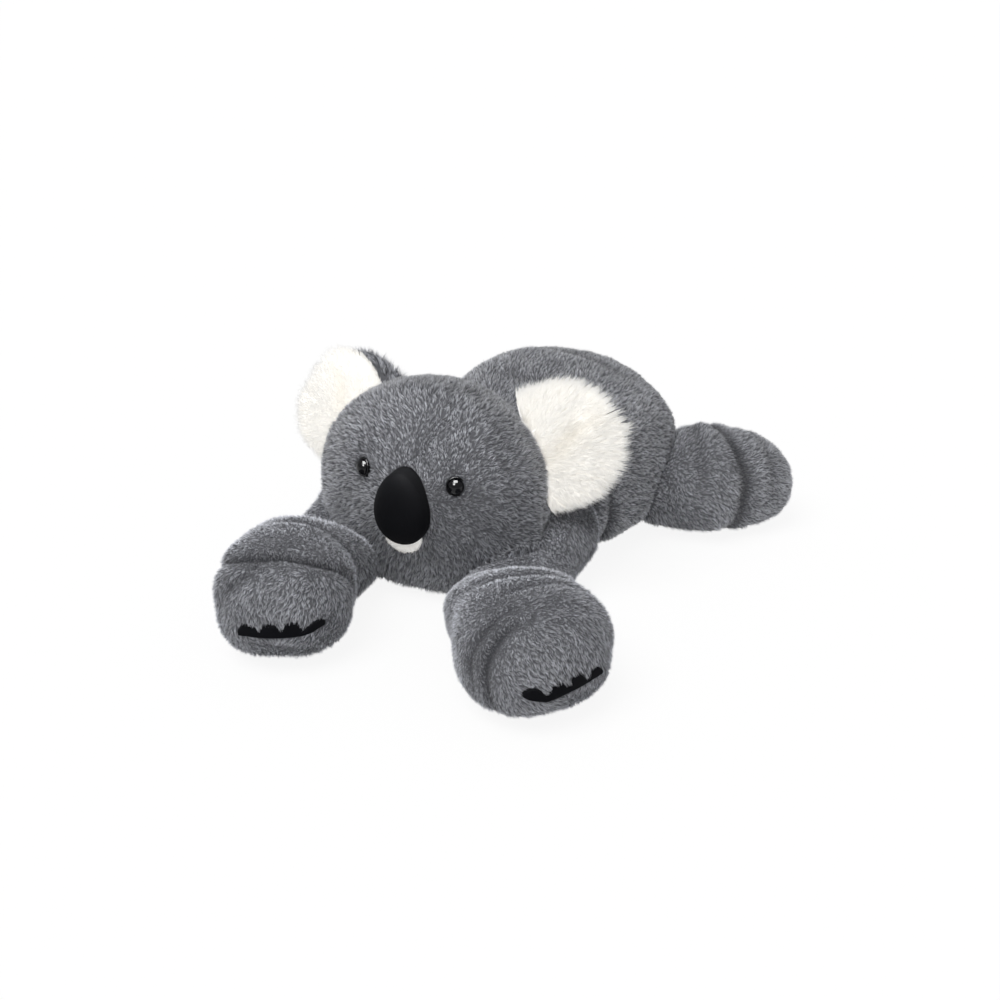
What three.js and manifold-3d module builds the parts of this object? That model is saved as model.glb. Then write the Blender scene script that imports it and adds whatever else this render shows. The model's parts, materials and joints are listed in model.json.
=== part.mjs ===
// A plush koala lying on its belly, in millimetres: +Z up, the face along -Y, the koala's left along +X.
// Each part of the body is a skin of pile fabric round its own stuffing, and turns on a ball in the torso.
import * as THREE from 'three';
import { mergeVertices } from 'three/addons/utils/BufferGeometryUtils.js';
import Module from 'manifold-3d';

const wasm = await Module();
wasm.setup();

// Fabric, seams and clearances
const pileFabric = 8; // backing and pile together
const stuffingGap = 0.4; // between a skin and its stuffing
const seamGap = 0.4; // between pieces that are sewn on each other
const jointGap = 0.9; // between parts that move past each other
const rootRoom = 0.9; // round a root ball, left whole where the rest of the limb is cut back
const socketGap = 1.8; // round a root ball in its socket
const restingFlat = 0.5; // how deep each form is cut flat where it lies
const cutOverrun = 12;

// Head: a broad form that narrows behind to a ball at the neck
const headWidth = 176;
const headTop = 77; // above its widest line
const headBottom = 78; // below its widest line
const faceDepth = 43; // from the widest line forward to the muzzle
const muzzleDrop = 7; // the muzzle's tip below the widest line
const neckBack = 76; // from the widest line back to the neck's pivot
const neckRadius = 46;
const neckHeight = 66;
const bowlGap = 5; // between the head's back and the torso's front
const cheekGap = 3; // between the head and the arms that it lies on
const nodUp = 12; // degrees
const bowlTurn = 5; // degrees up, where the torso's front is shaped to the head's back

// Torso: a settled form with round ends, bent a little to one side
const torsoStart = 34; // from the head's widest line back to the front end
const torsoLength = 196;
const torsoWidth = 186;
const torsoHeight = 126;
const torsoShift = 10;
const torsoHeadings = [8, 20]; // degrees from straight back towards the koala's left

// Arms: a root ball at the shoulder, a crease at the wrist and a broad paw
const armLengths = { left: 230, right: 238 };
const armWidths = { left: 105, right: 95 }; // the left arm lies bunched up
const armRootRadius = 34;
const armHeight = 84;
const pawLength = 48; // the round front end
const shoulderOuts = { left: 74, right: 69 };
const shoulderBacks = { left: 50, right: 62 };
// degrees from straight ahead towards the koala's left, at the shoulder and at the paw
const armHeadings = { left: [-5, 60], right: [-5, 26] };
const armSwing = 14; // degrees, outwards

// Legs: a root ball at the hip, a thigh, a crease at the ankle and a foot
const legLength = 97;
const legRootRadius = 34;
const legWidth = 88;
const legHeight = 82;
const footLength = 36; // the round rear end
const hipAlong = 149; // from the torso's front end
const hipOut = 74;
// degrees from straight back towards the koala's left, at the hip and at the foot
const legHeadings = { left: [70, 32], right: [-28, -6] };
const legSwing = 8; // degrees, each way

// Ears: a cupped fan of two layers, its root in a pocket of the head
const earRoot = 84;
const earReach = 66;
const earFrontThickness = 9;
const earBackThickness = 7;
const earRootThickness = 5; // of each layer
const earRim = 1.6; // half the thickness of a layer at its edge
const earCup = 16;
const earRootLow = { out: 87, back: 8, rise: -9 }; // from the middle of the head's widest line
const earRootHigh = { out: 44, back: 42, rise: 54 };
const earTurn = 20; // degrees that the blade is turned back about its root, from straight out
const earFold = 12; // degrees, each way
const earPocketFlare = 16; // degrees that its pocket opens beyond that

// Face
const noseWidth = 40;
const noseHeight = 54;
const noseStand = 10;
const noseSink = 3;
const noseBack = 0; // behind the head's foremost point
const noseWall = 2;
const chinWidth = 28;
const chinHeight = 24;
const chinStand = 4;
const chinSink = 3;
const chinShow = 7; // below the nose
const chinBack = 2; // behind the head's foremost point
const eyeDiameter = 14;
const eyeRim = 1;
const eyeDome = 6.2;
const eyeSpacing = 75;
const eyeRise = 19; // above the head's widest line
const eyeTurn = 30; // degrees outwards from straight ahead
const eyeTilt = 10; // degrees upwards
const eyeSink = 4.6;
const shankDiameter = 5;
const shankLength = 15;
const washerDiameter = 18;
const washerThickness = 2.4;
const washerDepth = 8.8; // under the pile

// Claws: a scalloped strip of felt in a slot across the front of each paw
const clawWidth = 57;
const clawHeight = 11;
const clawThickness = 3;
const clawSink = 2.6;
const clawDrop = 9; // below the paw's middle
const clawTurns = { left: -10, right: 3 }; // degrees from the paw's heading towards the koala's left
const clawCount = 4;

const charcoal = 0x5a5b5f;
const ivory = 0xf4f0ea;
const black = 0x101012;
const polyester = 0xf2f2ef;
const clearPlastic = 0xc9cac8;

const formSides = 16;
const broadLiningSides = 12;
const limbLiningSides = 8;
const ballSides = 20;
const roundSides = 16;
const mouthSides = 8;
const pocketSides = 6;
const headHeight = headBottom - restingFlat;
const armHeightAtRest = armHeight / 2 - restingFlat;
const legHeightAtRest = legHeight / 2 - restingFlat;
const right = new THREE.Vector3(-1, 0, 0);
const up = new THREE.Vector3(0, 0, 1);
const ahead = -1;
const backward = 1;

// Solids

function toSolid(geometry) {
  const bare = new THREE.BufferGeometry();
  bare.setAttribute('position', geometry.getAttribute('position').clone());
  bare.setIndex(geometry.getIndex());
  const merged = mergeVertices(bare);
  return new wasm.Manifold(new wasm.Mesh({
    numProp: 3,
    vertProperties: merged.getAttribute('position').array,
    triVerts: new Uint32Array(merged.getIndex().array),
  }));
}

function toGeometry(solid) {
  const mesh = solid.getMesh();
  const geometry = new THREE.BufferGeometry();
  geometry.setAttribute('position', new THREE.BufferAttribute(mesh.vertProperties, 3));
  geometry.setIndex(new THREE.BufferAttribute(mesh.triVerts, 1));
  geometry.computeVertexNormals();
  return geometry;
}

function join(solids) {
  return solids.reduce((whole, solid) => whole.add(solid));
}

function cut(solid, cutters) {
  return cutters.reduce((rest, cutter) => rest.subtract(cutter), solid);
}

function turnedAbout(solid, pivot, axis, degrees) {
  const matrix = new THREE.Matrix4().makeTranslation(pivot)
    .multiply(new THREE.Matrix4().makeRotationAxis(axis, THREE.MathUtils.degToRad(degrees)))
    .multiply(new THREE.Matrix4().makeTranslation(pivot.clone().negate()));
  return solid.transform(matrix.elements);
}

function ball(middle, radius) {
  const geometry = new THREE.SphereGeometry(radius, ballSides, ballSides / 2);
  return toSolid(geometry.translate(middle.x, middle.y, middle.z));
}

// A closed body of rings: each ring is a list of points, and the first and last are single points.
function ringBody(rings) {
  const starts = [];
  const positions = [];
  for (const ring of rings) {
    starts.push(positions.length / 3);
    ring.forEach((point) => positions.push(point.x, point.y, point.z));
  }
  const faces = [];
  for (let row = 0; row < rings.length - 1; row += 1) {
    const count = Math.max(rings[row].length, rings[row + 1].length);
    for (let side = 0; side < count; side += 1) {
      const corner = (ring, step) => starts[ring] + (side + step) % rings[ring].length;
      if (rings[row].length > 1) faces.push(corner(row, 0), corner(row, 1), corner(row + 1, 1));
      if (rings[row + 1].length > 1) faces.push(corner(row, 0), corner(row + 1, 1), corner(row + 1, 0));
    }
  }
  const geometry = new THREE.BufferGeometry();
  geometry.setAttribute('position', new THREE.Float32BufferAttribute(positions, 3));
  geometry.setIndex(faces);
  const solid = toSolid(geometry);
  if (solid.volume() > 0) return solid;
  geometry.setIndex(faces.reverse());
  return toSolid(geometry);
}

// A value from a table of shares that stand at even steps from 0 to 1.
function smooth(shares, at) {
  const last = shares.length - 1;
  const place = THREE.MathUtils.clamp(at, 0, 1) * last;
  const index = Math.min(Math.floor(place), last - 1);
  const t = place - index;
  const share = (step) => shares[THREE.MathUtils.clamp(index + step, 0, last)];
  return 0.5 * (2 * share(0) + (share(1) - share(-1)) * t
    + (2 * share(-1) - 5 * share(0) + 4 * share(1) - share(2)) * t ** 2
    + (3 * share(0) - share(-1) - 3 * share(1) + share(2)) * t ** 3);
}

// Level spines: a heading is counted in degrees from straight ahead or straight back towards the left

function alongOf(heading, way) {
  const angle = THREE.MathUtils.degToRad(heading);
  return new THREE.Vector3(Math.sin(angle), way * Math.cos(angle), 0);
}

function acrossOf(heading, way) {
  const angle = THREE.MathUtils.degToRad(heading);
  return new THREE.Vector3(Math.cos(angle), -way * Math.sin(angle), 0);
}

// A spine's heading turns evenly from its first value to its last over its length.
function headingAt(spine, along) {
  return THREE.MathUtils.lerp(spine.headings[0], spine.headings[1], Math.max(along, 0) / spine.length);
}

function pointAt(spine, along) {
  const steps = 24;
  const point = spine.start.clone();
  for (let step = 0; step < steps; step += 1) {
    const middle = along * (step + 0.5) / steps;
    point.addScaledVector(alongOf(headingAt(spine, middle), spine.way), along / steps);
  }
  return point;
}

// An upright ring across a spine, a superellipse whose upper and lower halves differ.
function ringAcross(spine, along, middle, half, count) {
  const across = acrossOf(headingAt(spine, along), spine.way);
  const rounded = (turn, power) => Math.sign(turn) * Math.abs(turn) ** (2 / power);
  return Array.from({ length: count }, (_, side) => {
    const angle = 2 * Math.PI * side / count;
    const upper = Math.sin(angle) > 0;
    const power = upper ? half.power : half.powerBelow ?? half.power;
    return middle.clone()
      .addScaledVector(across, half.wide * rounded(Math.cos(angle), power))
      .addScaledVector(up, rounded(Math.sin(angle), power) * (upper ? half.above : half.below));
  });
}

const liningShare = 0.6; // of a skin's rings are in its lining

// Sewn forms: a root ball, a body that swells from the ball's radius to its full size, and a round end

const armForm = (side) => ({
  rootRadius: armRootRadius,
  endLength: pawLength,
  wide: armWidths[side] / 2,
  above: armHeight / 2,
  below: armHeight / 2,
  height: armHeightAtRest,
  widthShares: [0, 0, 0.1, 0.6, 0.85, 0.7, 1, 1, 1],
  heightShares: [0, 0.1, -1, -1.4, -0.2, 0.6, 1, 1, 1],
  power: 2.2,
  powerBelow: 2.8,
  endPower: 2.1,
  endPowerBelow: 2.1,
  liningSides: limbLiningSides,
  bodyRings: 9,
  endRings: 3,
});

const legForm = {
  rootRadius: legRootRadius,
  endLength: footLength,
  wide: legWidth / 2,
  above: legHeight / 2,
  below: legHeight / 2,
  height: legHeightAtRest,
  widthShares: [0, 0.6, 1, 1, 0.3, 0.1, 0.4, 0.5],
  heightShares: [0, 0.7, 1, 0.95, 0.6, 0.5, 0.3, 0.2],
  power: 2.2,
  powerBelow: 2.8,
  endPower: 2.1,
  endPowerBelow: 2.1,
  liningSides: limbLiningSides,
  bodyRings: 8,
  endRings: 3,
};

const headForm = {
  rootRadius: neckRadius,
  endLength: faceDepth,
  wide: headWidth / 2,
  above: headTop,
  below: headBottom,
  height: headHeight,
  widthShares: [0, 0.12, 0.45, 0.78, 0.95, 1, 1, 1, 1],
  heightShares: [0, 0.3, 0.66, 0.87, 0.97, 1, 1, 1, 1],
  power: 1.95,
  powerBelow: 3,
  tipDrop: muzzleDrop,
  endPower: 1.6,
  endPowerBelow: 2.6,
  liningSides: broadLiningSides,
  bodyRings: 6,
  endRings: 5,
};

// The form along its spine, with every radius grown by a thickness, or drawn in by a negative one.
function sewnForm(form, spine, grow = 0, lining = false) {
  const count = lining ? form.liningSides : formSides;
  const ballRings = lining ? 3 : 4;
  const bodyRings = lining ? Math.ceil(form.bodyRings * liningShare) : form.bodyRings;
  const radius = form.rootRadius + grow;
  const rings = [[pointAt(spine, -radius)]];
  for (let step = 1; step < ballRings; step += 1) {
    const angle = step / ballRings * Math.PI / 2;
    const wide = radius * Math.sin(angle);
    const along = -radius * Math.cos(angle);
    const half = { wide, above: wide, below: wide, power: 2 };
    rings.push(ringAcross(spine, along, pointAt(spine, along), half, count));
  }
  const ringAt = (along, fade, fadeBelow) => {
    const share = along / spine.length;
    const drop = (form.tipDrop ?? 0) * (1 - fade);
    const swell = smooth(form.heightShares, share);
    const size = (full, swollen) => form.rootRadius + (full - form.rootRadius) * swollen + grow;
    const middle = pointAt(spine, along);
    middle.z = THREE.MathUtils.lerp(spine.start.z, form.height, swell) - drop;
    return ringAcross(spine, along, middle, {
      wide: size(form.wide, smooth(form.widthShares, share)) * fade,
      above: size(form.above, swell) * fade,
      below: size(form.below, swell) * fadeBelow,
      power: THREE.MathUtils.lerp(2, form.power, Math.min(share * 2, 1)),
      powerBelow: THREE.MathUtils.lerp(2, form.powerBelow, Math.min(share * 2, 1)),
    }, count);
  };
  const straight = spine.length - form.endLength;
  for (let step = 0; step <= bodyRings; step += 1) rings.push(ringAt(straight * step / bodyRings, 1, 1));
  for (let step = 1; step < form.endRings; step += 1) {
    const reach = Math.sin(step / form.endRings * Math.PI / 2);
    const fade = (power) => (1 - reach ** power) ** (1 / power);
    const along = straight + (form.endLength + grow) * reach;
    rings.push(ringAt(along, fade(form.endPower), fade(form.endPowerBelow)));
  }
  const tip = pointAt(spine, spine.length + grow);
  tip.z = form.height - (form.tipDrop ?? 0);
  rings.push([tip]);
  return ringBody(rings);
}

// The torso: round at both ends, narrower and lower at the shoulders than at the rump

const torsoWidthShares = [0.86, 0.92, 0.97, 1, 1, 0.99, 0.95];
const torsoHeightShares = [0.75, 0.79, 0.86, 0.94, 1, 1, 0.97];
const torsoPower = 2.4;
const torsoPowerBelow = 3.6;
const torsoRings = 10;
const torsoSpine = {
  start: new THREE.Vector3(torsoShift, torsoStart, torsoHeight / 2 - restingFlat),
  headings: torsoHeadings,
  way: backward,
  length: torsoLength,
};

function torsoForm(grow = 0, lining = false) {
  const count = lining ? broadLiningSides : formSides;
  const rings = [];
  for (let step = 0; step <= torsoRings; step += 1) {
    const reach = -Math.cos(Math.PI * step / torsoRings);
    const fade = Math.max(1 - Math.abs(reach) ** torsoPower, 0) ** (1 / torsoPower);
    const share = (1 + reach) / 2;
    const along = torsoLength * share;
    const middle = pointAt(torsoSpine, along);
    middle.addScaledVector(alongOf(headingAt(torsoSpine, along), backward), grow * reach);
    const lowered = torsoHeight * (1 - smooth(torsoHeightShares, share));
    rings.push(step % torsoRings === 0 ? [middle] : ringAcross(torsoSpine, along, middle, {
      wide: (torsoWidth / 2 * smooth(torsoWidthShares, share) + grow) * fade,
      above: (torsoHeight / 2 - lowered + grow) * fade,
      below: (torsoHeight / 2 + grow) * fade,
      power: torsoPower,
      powerBelow: torsoPowerBelow,
    }, count));
  }
  return ringBody(rings);
}

// Places of the joints

const neck = new THREE.Vector3(0, neckBack, neckHeight);
const shoulders = {
  left: new THREE.Vector3(shoulderOuts.left, shoulderBacks.left, armRootRadius - restingFlat),
  right: new THREE.Vector3(-shoulderOuts.right, shoulderBacks.right, armRootRadius - restingFlat),
};
function hip(side) {
  const point = pointAt(torsoSpine, hipAlong);
  point.addScaledVector(acrossOf(headingAt(torsoSpine, hipAlong), backward), side * hipOut);
  point.z = legRootRadius - restingFlat;
  return point;
}
const hips = { left: hip(1), right: hip(-1) };

const headSpine = { start: neck, headings: [0, 0], way: ahead, length: neckBack + faceDepth };
const armSpine = (side) => (
  { start: shoulders[side], headings: armHeadings[side], way: ahead, length: armLengths[side] }
);
const legSpine = (side) => (
  { start: hips[side], headings: legHeadings[side], way: backward, length: legLength }
);

// Cutters

function largest(solid) {
  const bodies = solid.decompose();
  return bodies.reduce((most, body) => (body.volume() > most.volume() ? body : most));
}

function box(size, middle) {
  return toSolid(new THREE.BoxGeometry(size.x, size.y, size.z).translate(middle.x, middle.y, middle.z));
}

// A rod from a point along a direction.
function rod(start, direction, radius, length, count = roundSides) {
  const geometry = new THREE.CylinderGeometry(radius, radius, length, count).translate(0, length / 2, 0);
  const upright = new THREE.Vector3(0, 1, 0);
  geometry.applyQuaternion(new THREE.Quaternion().setFromUnitVectors(upright, direction));
  return toSolid(geometry.translate(start.x, start.y, start.z));
}

const floorSpan = 4 * torsoLength;
const floor = box(
  new THREE.Vector3(floorSpan, floorSpan, cutOverrun),
  new THREE.Vector3(0, torsoStart, -cutOverrun / 2),
);
const outwards = { left: armSwing, right: -armSwing };

// The torso as a limb meets it over its swing, all but the socket of the limb's root ball.
function torsoRoom(pivot, radius, grow, angles) {
  const torso = torsoForm(grow);
  const turned = join(angles.map((angle) => turnedAbout(torso, pivot, up, -angle)));
  return turned.subtract(ball(pivot, radius + rootRoom + jointGap - grow));
}

// The head as an arm meets it over its swing.
function headRoom(side, grow) {
  const head = sewnForm(headForm, headSpine, grow);
  return join([head, turnedAbout(head, shoulders[side], up, -outwards[side])]);
}

// The mouth of a limb's skin: an opening through the root ball and the wall of its socket.
const torsoMiddle = pointAt(torsoSpine, torsoLength / 2);
function mouth(pivot, radius) {
  const direction = torsoMiddle.clone().sub(pivot).normalize();
  return rod(pivot, direction, radius / 2, radius + socketGap + pileFabric + cutOverrun, mouthSides);
}
const neckMouth = mouth(neck, neckRadius);
const armMouths = {
  left: mouth(shoulders.left, armRootRadius),
  right: mouth(shoulders.right, armRootRadius),
};
const legMouths = { left: mouth(hips.left, legRootRadius), right: mouth(hips.right, legRootRadius) };

// Pieces

const koala = new THREE.Group();

function addPiece(name, solid, color, roughness) {
  const material = new THREE.MeshStandardMaterial({ color, roughness, metalness: 0 });
  const mesh = new THREE.Mesh(toGeometry(solid), material);
  mesh.name = name;
  koala.add(mesh);
}

// Torso: a skin open at the neck, the shoulders and the hips

function torsoAt(depth) {
  return cut(torsoForm(-depth, depth > 0), [
    turnedAbout(sewnForm(headForm, headSpine, bowlGap + depth), neck, right, bowlTurn),
    ball(shoulders.left, armRootRadius + socketGap + depth),
    ball(shoulders.right, armRootRadius + socketGap + depth),
    ball(hips.left, legRootRadius + socketGap + depth),
    ball(hips.right, legRootRadius + socketGap + depth),
    floor,
  ]);
}

function makeTorso() {
  const mouths = [neckMouth, armMouths.left, armMouths.right, legMouths.left, legMouths.right];
  addPiece('torso_skin', largest(cut(torsoAt(0), [torsoAt(pileFabric), ...mouths])), charcoal, 0.95);
  addPiece('torso_stuffing', torsoAt(pileFabric + stuffingGap), polyester, 0.9);
}

// Arms: dented by the head that lies on them, with a slot for the claws

function armAt(side, depth) {
  return cut(sewnForm(armForm(side), armSpine(side), -depth, depth > 0), [
    torsoRoom(shoulders[side], armRootRadius, jointGap + depth, [0]),
    headRoom(side, cheekGap + depth),
    floor,
  ]);
}

// The strip's outline from the front: domes on a base that follows the fold.
const clawBaseShares = { left: [0.1, -0.35, -0.1, 0.1, 0.2], right: [0, 0, 0, 0.05, 0.4] };
const clawDomeShares = [0.8, 1, 1, 0.6];
const clawNotchShare = 0.35; // of a dome's height is left between two domes

function clawOutline(side, grow) {
  const foldAt = (share) => clawHeight * smooth(clawBaseShares[side], share);
  const steps = 4;
  const shape = new THREE.Shape();
  const across = (share) => clawWidth * (share - 0.5);
  const count = clawCount * steps;
  const top = Array.from({ length: count + 1 }, (_, step) => {
    const share = step / count;
    const claw = Math.min(Math.floor(share * clawCount), clawCount - 1);
    const within = share * clawCount - claw;
    const dome = Math.sqrt(Math.max(1 - (2 * within - 1) ** 2, 0));
    const height = clawHeight * clawDomeShares[claw] * THREE.MathUtils.lerp(clawNotchShare, 1, dome);
    return [across(share), foldAt(share) + height + grow];
  });
  top[0][0] -= grow;
  top[count][0] += grow;
  const base = Array.from({ length: clawCount * 2 + 1 }, (_, step) => {
    const share = 1 - step / (clawCount * 2);
    return [across(share), foldAt(share) - grow];
  });
  base[0][0] += grow;
  base.at(-1)[0] -= grow;
  [...top, ...base].forEach(([x, y], index) => (index === 0 ? shape.moveTo(x, y) : shape.lineTo(x, y)));
  return shape;
}

// A prism of the outline that runs forward through the front of the paw.
function clawPrism(side, grow) {
  const spine = armSpine(side);
  const pawMiddle = pointAt(spine, spine.length - pawLength);
  pawMiddle.z = armHeightAtRest - clawDrop;
  const heading = headingAt(spine, spine.length) + clawTurns[side];
  const geometry = new THREE.ExtrudeGeometry(clawOutline(side, grow), {
    depth: pawLength * 2,
    bevelEnabled: false,
  });
  const across = acrossOf(heading, ahead);
  geometry.applyMatrix4(new THREE.Matrix4().makeBasis(across, up, alongOf(heading, ahead)));
  return toSolid(geometry.translate(pawMiddle.x, pawMiddle.y, pawMiddle.z));
}

function makeArm(side) {
  const form = (grow) => sewnForm(armForm(side), armSpine(side), grow);
  const strip = clawPrism(side, 0).intersect(form(clawThickness - clawSink).subtract(form(-clawSink)));
  const slot = clawPrism(side, seamGap).subtract(form(-clawSink - seamGap));
  const openings = [armAt(side, pileFabric), armMouths[side], slot];
  addPiece(`arm_skin_${side}`, largest(cut(armAt(side, 0), openings)), charcoal, 0.95);
  addPiece(`arm_stuffing_${side}`, armAt(side, pileFabric + stuffingGap), polyester, 0.9);
  addPiece(`claw_strip_${side}`, largest(strip), black, 0.9);
}

// Legs

function legAt(side, depth) {
  return cut(sewnForm(legForm, legSpine(side), -depth, depth > 0), [
    torsoRoom(hips[side], legRootRadius, jointGap + depth, [-legSwing, legSwing]),
    floor,
  ]);
}

function makeLeg(side) {
  const openings = [legAt(side, pileFabric), legMouths[side]];
  addPiece(`leg_skin_${side}`, largest(cut(legAt(side, 0), openings)), charcoal, 0.95);
  addPiece(`leg_stuffing_${side}`, legAt(side, pileFabric + stuffingGap), polyester, 0.9);
}

// Ears: two layers of a cupped blade, in the frame of the root's line, the blade's reach and its front

function earFrame(side) {
  const place = (root) => new THREE.Vector3(side * root.out, root.back, headHeight + root.rise);
  const low = place(earRootLow);
  const along = place(earRootHigh).sub(low).normalize();
  const middle = low.addScaledVector(along, earRoot / 2);
  const level = new THREE.Vector3(side, 0, 0);
  const straight = level.addScaledVector(along, -level.dot(along)).normalize();
  const reach = straight.applyAxisAngle(along, side * THREE.MathUtils.degToRad(earTurn));
  const front = reach.clone().cross(along).multiplyScalar(side);
  return { middle, along, reach, front };
}

const earWidthShares = [0.88, 0.96, 1.01, 1.01, 0.95, 0.8, 0.55, 0];
const earThicknessShares = [0, 0.4, 0.9, 1, 0.95, 0.85, 0.6, 0.3];
const earCurlShares = { tip: 0.4, low: 0.5, high: 1.1 };
const earHalfSides = 8;
const pocketLengthShare = 1.02;

function earLayer(side, thickness, facing) {
  const { middle, along, reach, front } = earFrame(side);
  const last = earWidthShares.length - 1;
  const pointOf = (u, v, lift) => {
    const curl = u ** 2 * v ** 2 * (3 - 2 * v) * (u > 0 ? earCurlShares.high : earCurlShares.low);
    const cup = earCup * (v ** 2 * earCurlShares.tip + curl);
    return middle.clone()
      .addScaledVector(along, u * earRoot / 2 * earWidthShares[Math.round(v * last)])
      .addScaledVector(reach, earReach * v)
      .addScaledVector(front, cup + lift);
  };
  const rings = [];
  for (let row = 0; row < last; row += 1) {
    const v = row / last;
    const swell = THREE.MathUtils.lerp(earRootThickness, thickness, earThicknessShares[row]);
    const ring = [];
    for (let step = 0; step <= earHalfSides; step += 1) {
      const u = -Math.cos(Math.PI * step / earHalfSides);
      const bulge = (swell - earRim) * Math.sin(Math.PI * step / earHalfSides);
      ring.push(pointOf(u, v, facing * (seamGap / 2 + earRim + bulge)));
    }
    for (let step = earHalfSides; step >= 0; step -= 1) {
      const u = -Math.cos(Math.PI * step / earHalfSides);
      ring.push(pointOf(u, v, facing * seamGap / 2));
    }
    if (row === 0) rings.push([pointOf(0, 0, facing * (seamGap / 2 + swell / 2))]);
    rings.push(ring);
  }
  rings.push([pointOf(0, 1, facing * (seamGap / 2 + earRim / 2))]);
  return ringBody(rings);
}

// The pocket that an ear's root turns in: a round bottom about the root's line, and sides that open.
function earPocket(side, grow) {
  const { middle, along, reach, front } = earFrame(side);
  const radius = earRootThickness + seamGap / 2 + jointGap + grow;
  const depth = earReach / 2;
  const spread = radius + depth * Math.tan(THREE.MathUtils.degToRad(earFold + earPocketFlare));
  const shape = new THREE.Shape();
  shape.moveTo(-spread, depth);
  shape.lineTo(-radius, 0);
  shape.absarc(0, 0, radius, Math.PI, 2 * Math.PI, false);
  shape.lineTo(spread, depth);
  const length = earRoot * pocketLengthShare + 2 * (jointGap + grow);
  const geometry = new THREE.ExtrudeGeometry(shape, {
    depth: length,
    bevelEnabled: false,
    curveSegments: pocketSides,
  });
  geometry.translate(0, 0, -length / 2);
  geometry.applyMatrix4(new THREE.Matrix4().makeBasis(front.multiplyScalar(side), reach, along));
  return toSolid(geometry.translate(middle.x, middle.y, middle.z));
}

// Face

// An egg-shaped pad on the front of the head, that runs back to the widest line.
function pad(size, grow) {
  const rings = [];
  const domeRings = 5;
  const outline = (y, fade) => Array.from({ length: roundSides }, (_, step) => {
    const angle = 2 * Math.PI * step / roundSides;
    const lift = Math.sin(angle);
    const taper = 1 - size.taperShare * lift;
    return new THREE.Vector3(
      (size.width / 2 + grow) * Math.cos(angle) * taper * fade,
      y,
      headHeight - size.drop + (size.height / 2 + grow) * lift * fade,
    );
  });
  const front = -faceDepth + size.back;
  rings.push([new THREE.Vector3(0, front - size.stand - grow, headHeight - size.drop)]);
  for (let step = 1; step <= domeRings; step += 1) {
    const angle = step / domeRings * Math.PI / 2;
    rings.push(outline(front - (size.stand + grow) * Math.cos(angle), Math.sin(angle) ** padEdgePower));
  }
  rings.push(outline(0, 1));
  rings.push([new THREE.Vector3(0, 0, headHeight - size.drop)]);
  return ringBody(rings);
}

const padEdgePower = 0.8; // below one, the dome is flatter with a rounder edge
const nosePad = {
  width: noseWidth,
  height: noseHeight,
  stand: noseStand,
  drop: 0,
  back: noseBack,
  taperShare: 0.16,
};
const chinPad = {
  width: chinWidth,
  height: chinHeight,
  stand: chinStand,
  drop: noseHeight / 2 + chinShow - chinHeight / 2,
  back: chinBack,
  taperShare: 0,
};
const headSunk = (sink) => sewnForm(headForm, headSpine, -sink);

function makeNose() {
  const whole = pad(nosePad, 0).subtract(headSunk(noseSink));
  const hollow = pad(nosePad, -noseWall).subtract(headSunk(noseSink + cutOverrun));
  const wadding = pad(nosePad, -noseWall - seamGap).subtract(headSunk(noseSink));
  addPiece('nose_pad', largest(whole.subtract(hollow)), black, 0.85);
  addPiece('nose_wadding', largest(wadding), polyester, 0.9);
  const chin = cut(pad(chinPad, 0), [headSunk(chinSink), pad(nosePad, seamGap)]);
  addPiece('chin_patch', largest(chin), ivory, 0.95);
}

// The recesses of the nose and the chin in the head's skin
function faceRecesses() {
  const nose = pad(nosePad, seamGap).subtract(headSunk(noseSink + seamGap));
  const chin = pad(chinPad, seamGap).subtract(headSunk(chinSink + seamGap));
  return [nose, chin];
}

// Eyes: a dome on a shank, each with its own washer behind the skin

function lathed(profile) {
  const points = profile.map(([radius, height]) => new THREE.Vector2(radius, height));
  return new THREE.LatheGeometry(points, roundSides);
}

function eyePlace(side) {
  const turn = THREE.MathUtils.degToRad(eyeTurn);
  const tilt = THREE.MathUtils.degToRad(eyeTilt);
  const level = new THREE.Vector3(side * Math.sin(turn), -Math.cos(turn), 0);
  const facing = level.multiplyScalar(Math.cos(tilt)).addScaledVector(up, Math.sin(tilt));
  const head = new THREE.Mesh(toGeometry(sewnForm(headForm, headSpine)));
  const start = new THREE.Vector3(side * eyeSpacing / 2, -headWidth, headHeight + eyeRise);
  const hit = new THREE.Raycaster(start, new THREE.Vector3(0, 1, 0)).intersectObject(head)[0];
  const upright = new THREE.Vector3(0, 1, 0);
  return { point: hit.point, turn: new THREE.Quaternion().setFromUnitVectors(upright, facing) };
}

function placed(geometry, { point, turn }) {
  return toSolid(geometry.applyQuaternion(turn).translate(point.x, point.y, point.z));
}

const shankRadius = shankDiameter / 2;
const eyeRadius = eyeDiameter / 2;
const washerRadius = washerDiameter / 2;

function eyeSolid(place) {
  const domeSteps = 6;
  const dome = Array.from({ length: domeSteps + 1 }, (_, step) => {
    const angle = step / domeSteps * Math.PI / 2;
    const height = eyeRim - eyeSink + (eyeDome - eyeRim) * Math.sin(angle);
    return [step === domeSteps ? 0 : eyeRadius * Math.cos(angle), height];
  });
  return placed(lathed([
    [0, -eyeSink - shankLength],
    [shankRadius, -eyeSink - shankLength],
    [shankRadius, -eyeSink],
    [eyeRadius, -eyeSink],
    ...dome,
  ]), place);
}

function washerSolid(place) {
  const hole = shankRadius + seamGap;
  return placed(lathed([
    [hole, -washerDepth - washerThickness],
    [washerRadius, -washerDepth - washerThickness],
    [washerRadius, -washerDepth],
    [hole, -washerDepth],
    [hole, -washerDepth - washerThickness],
  ]), place);
}

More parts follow.
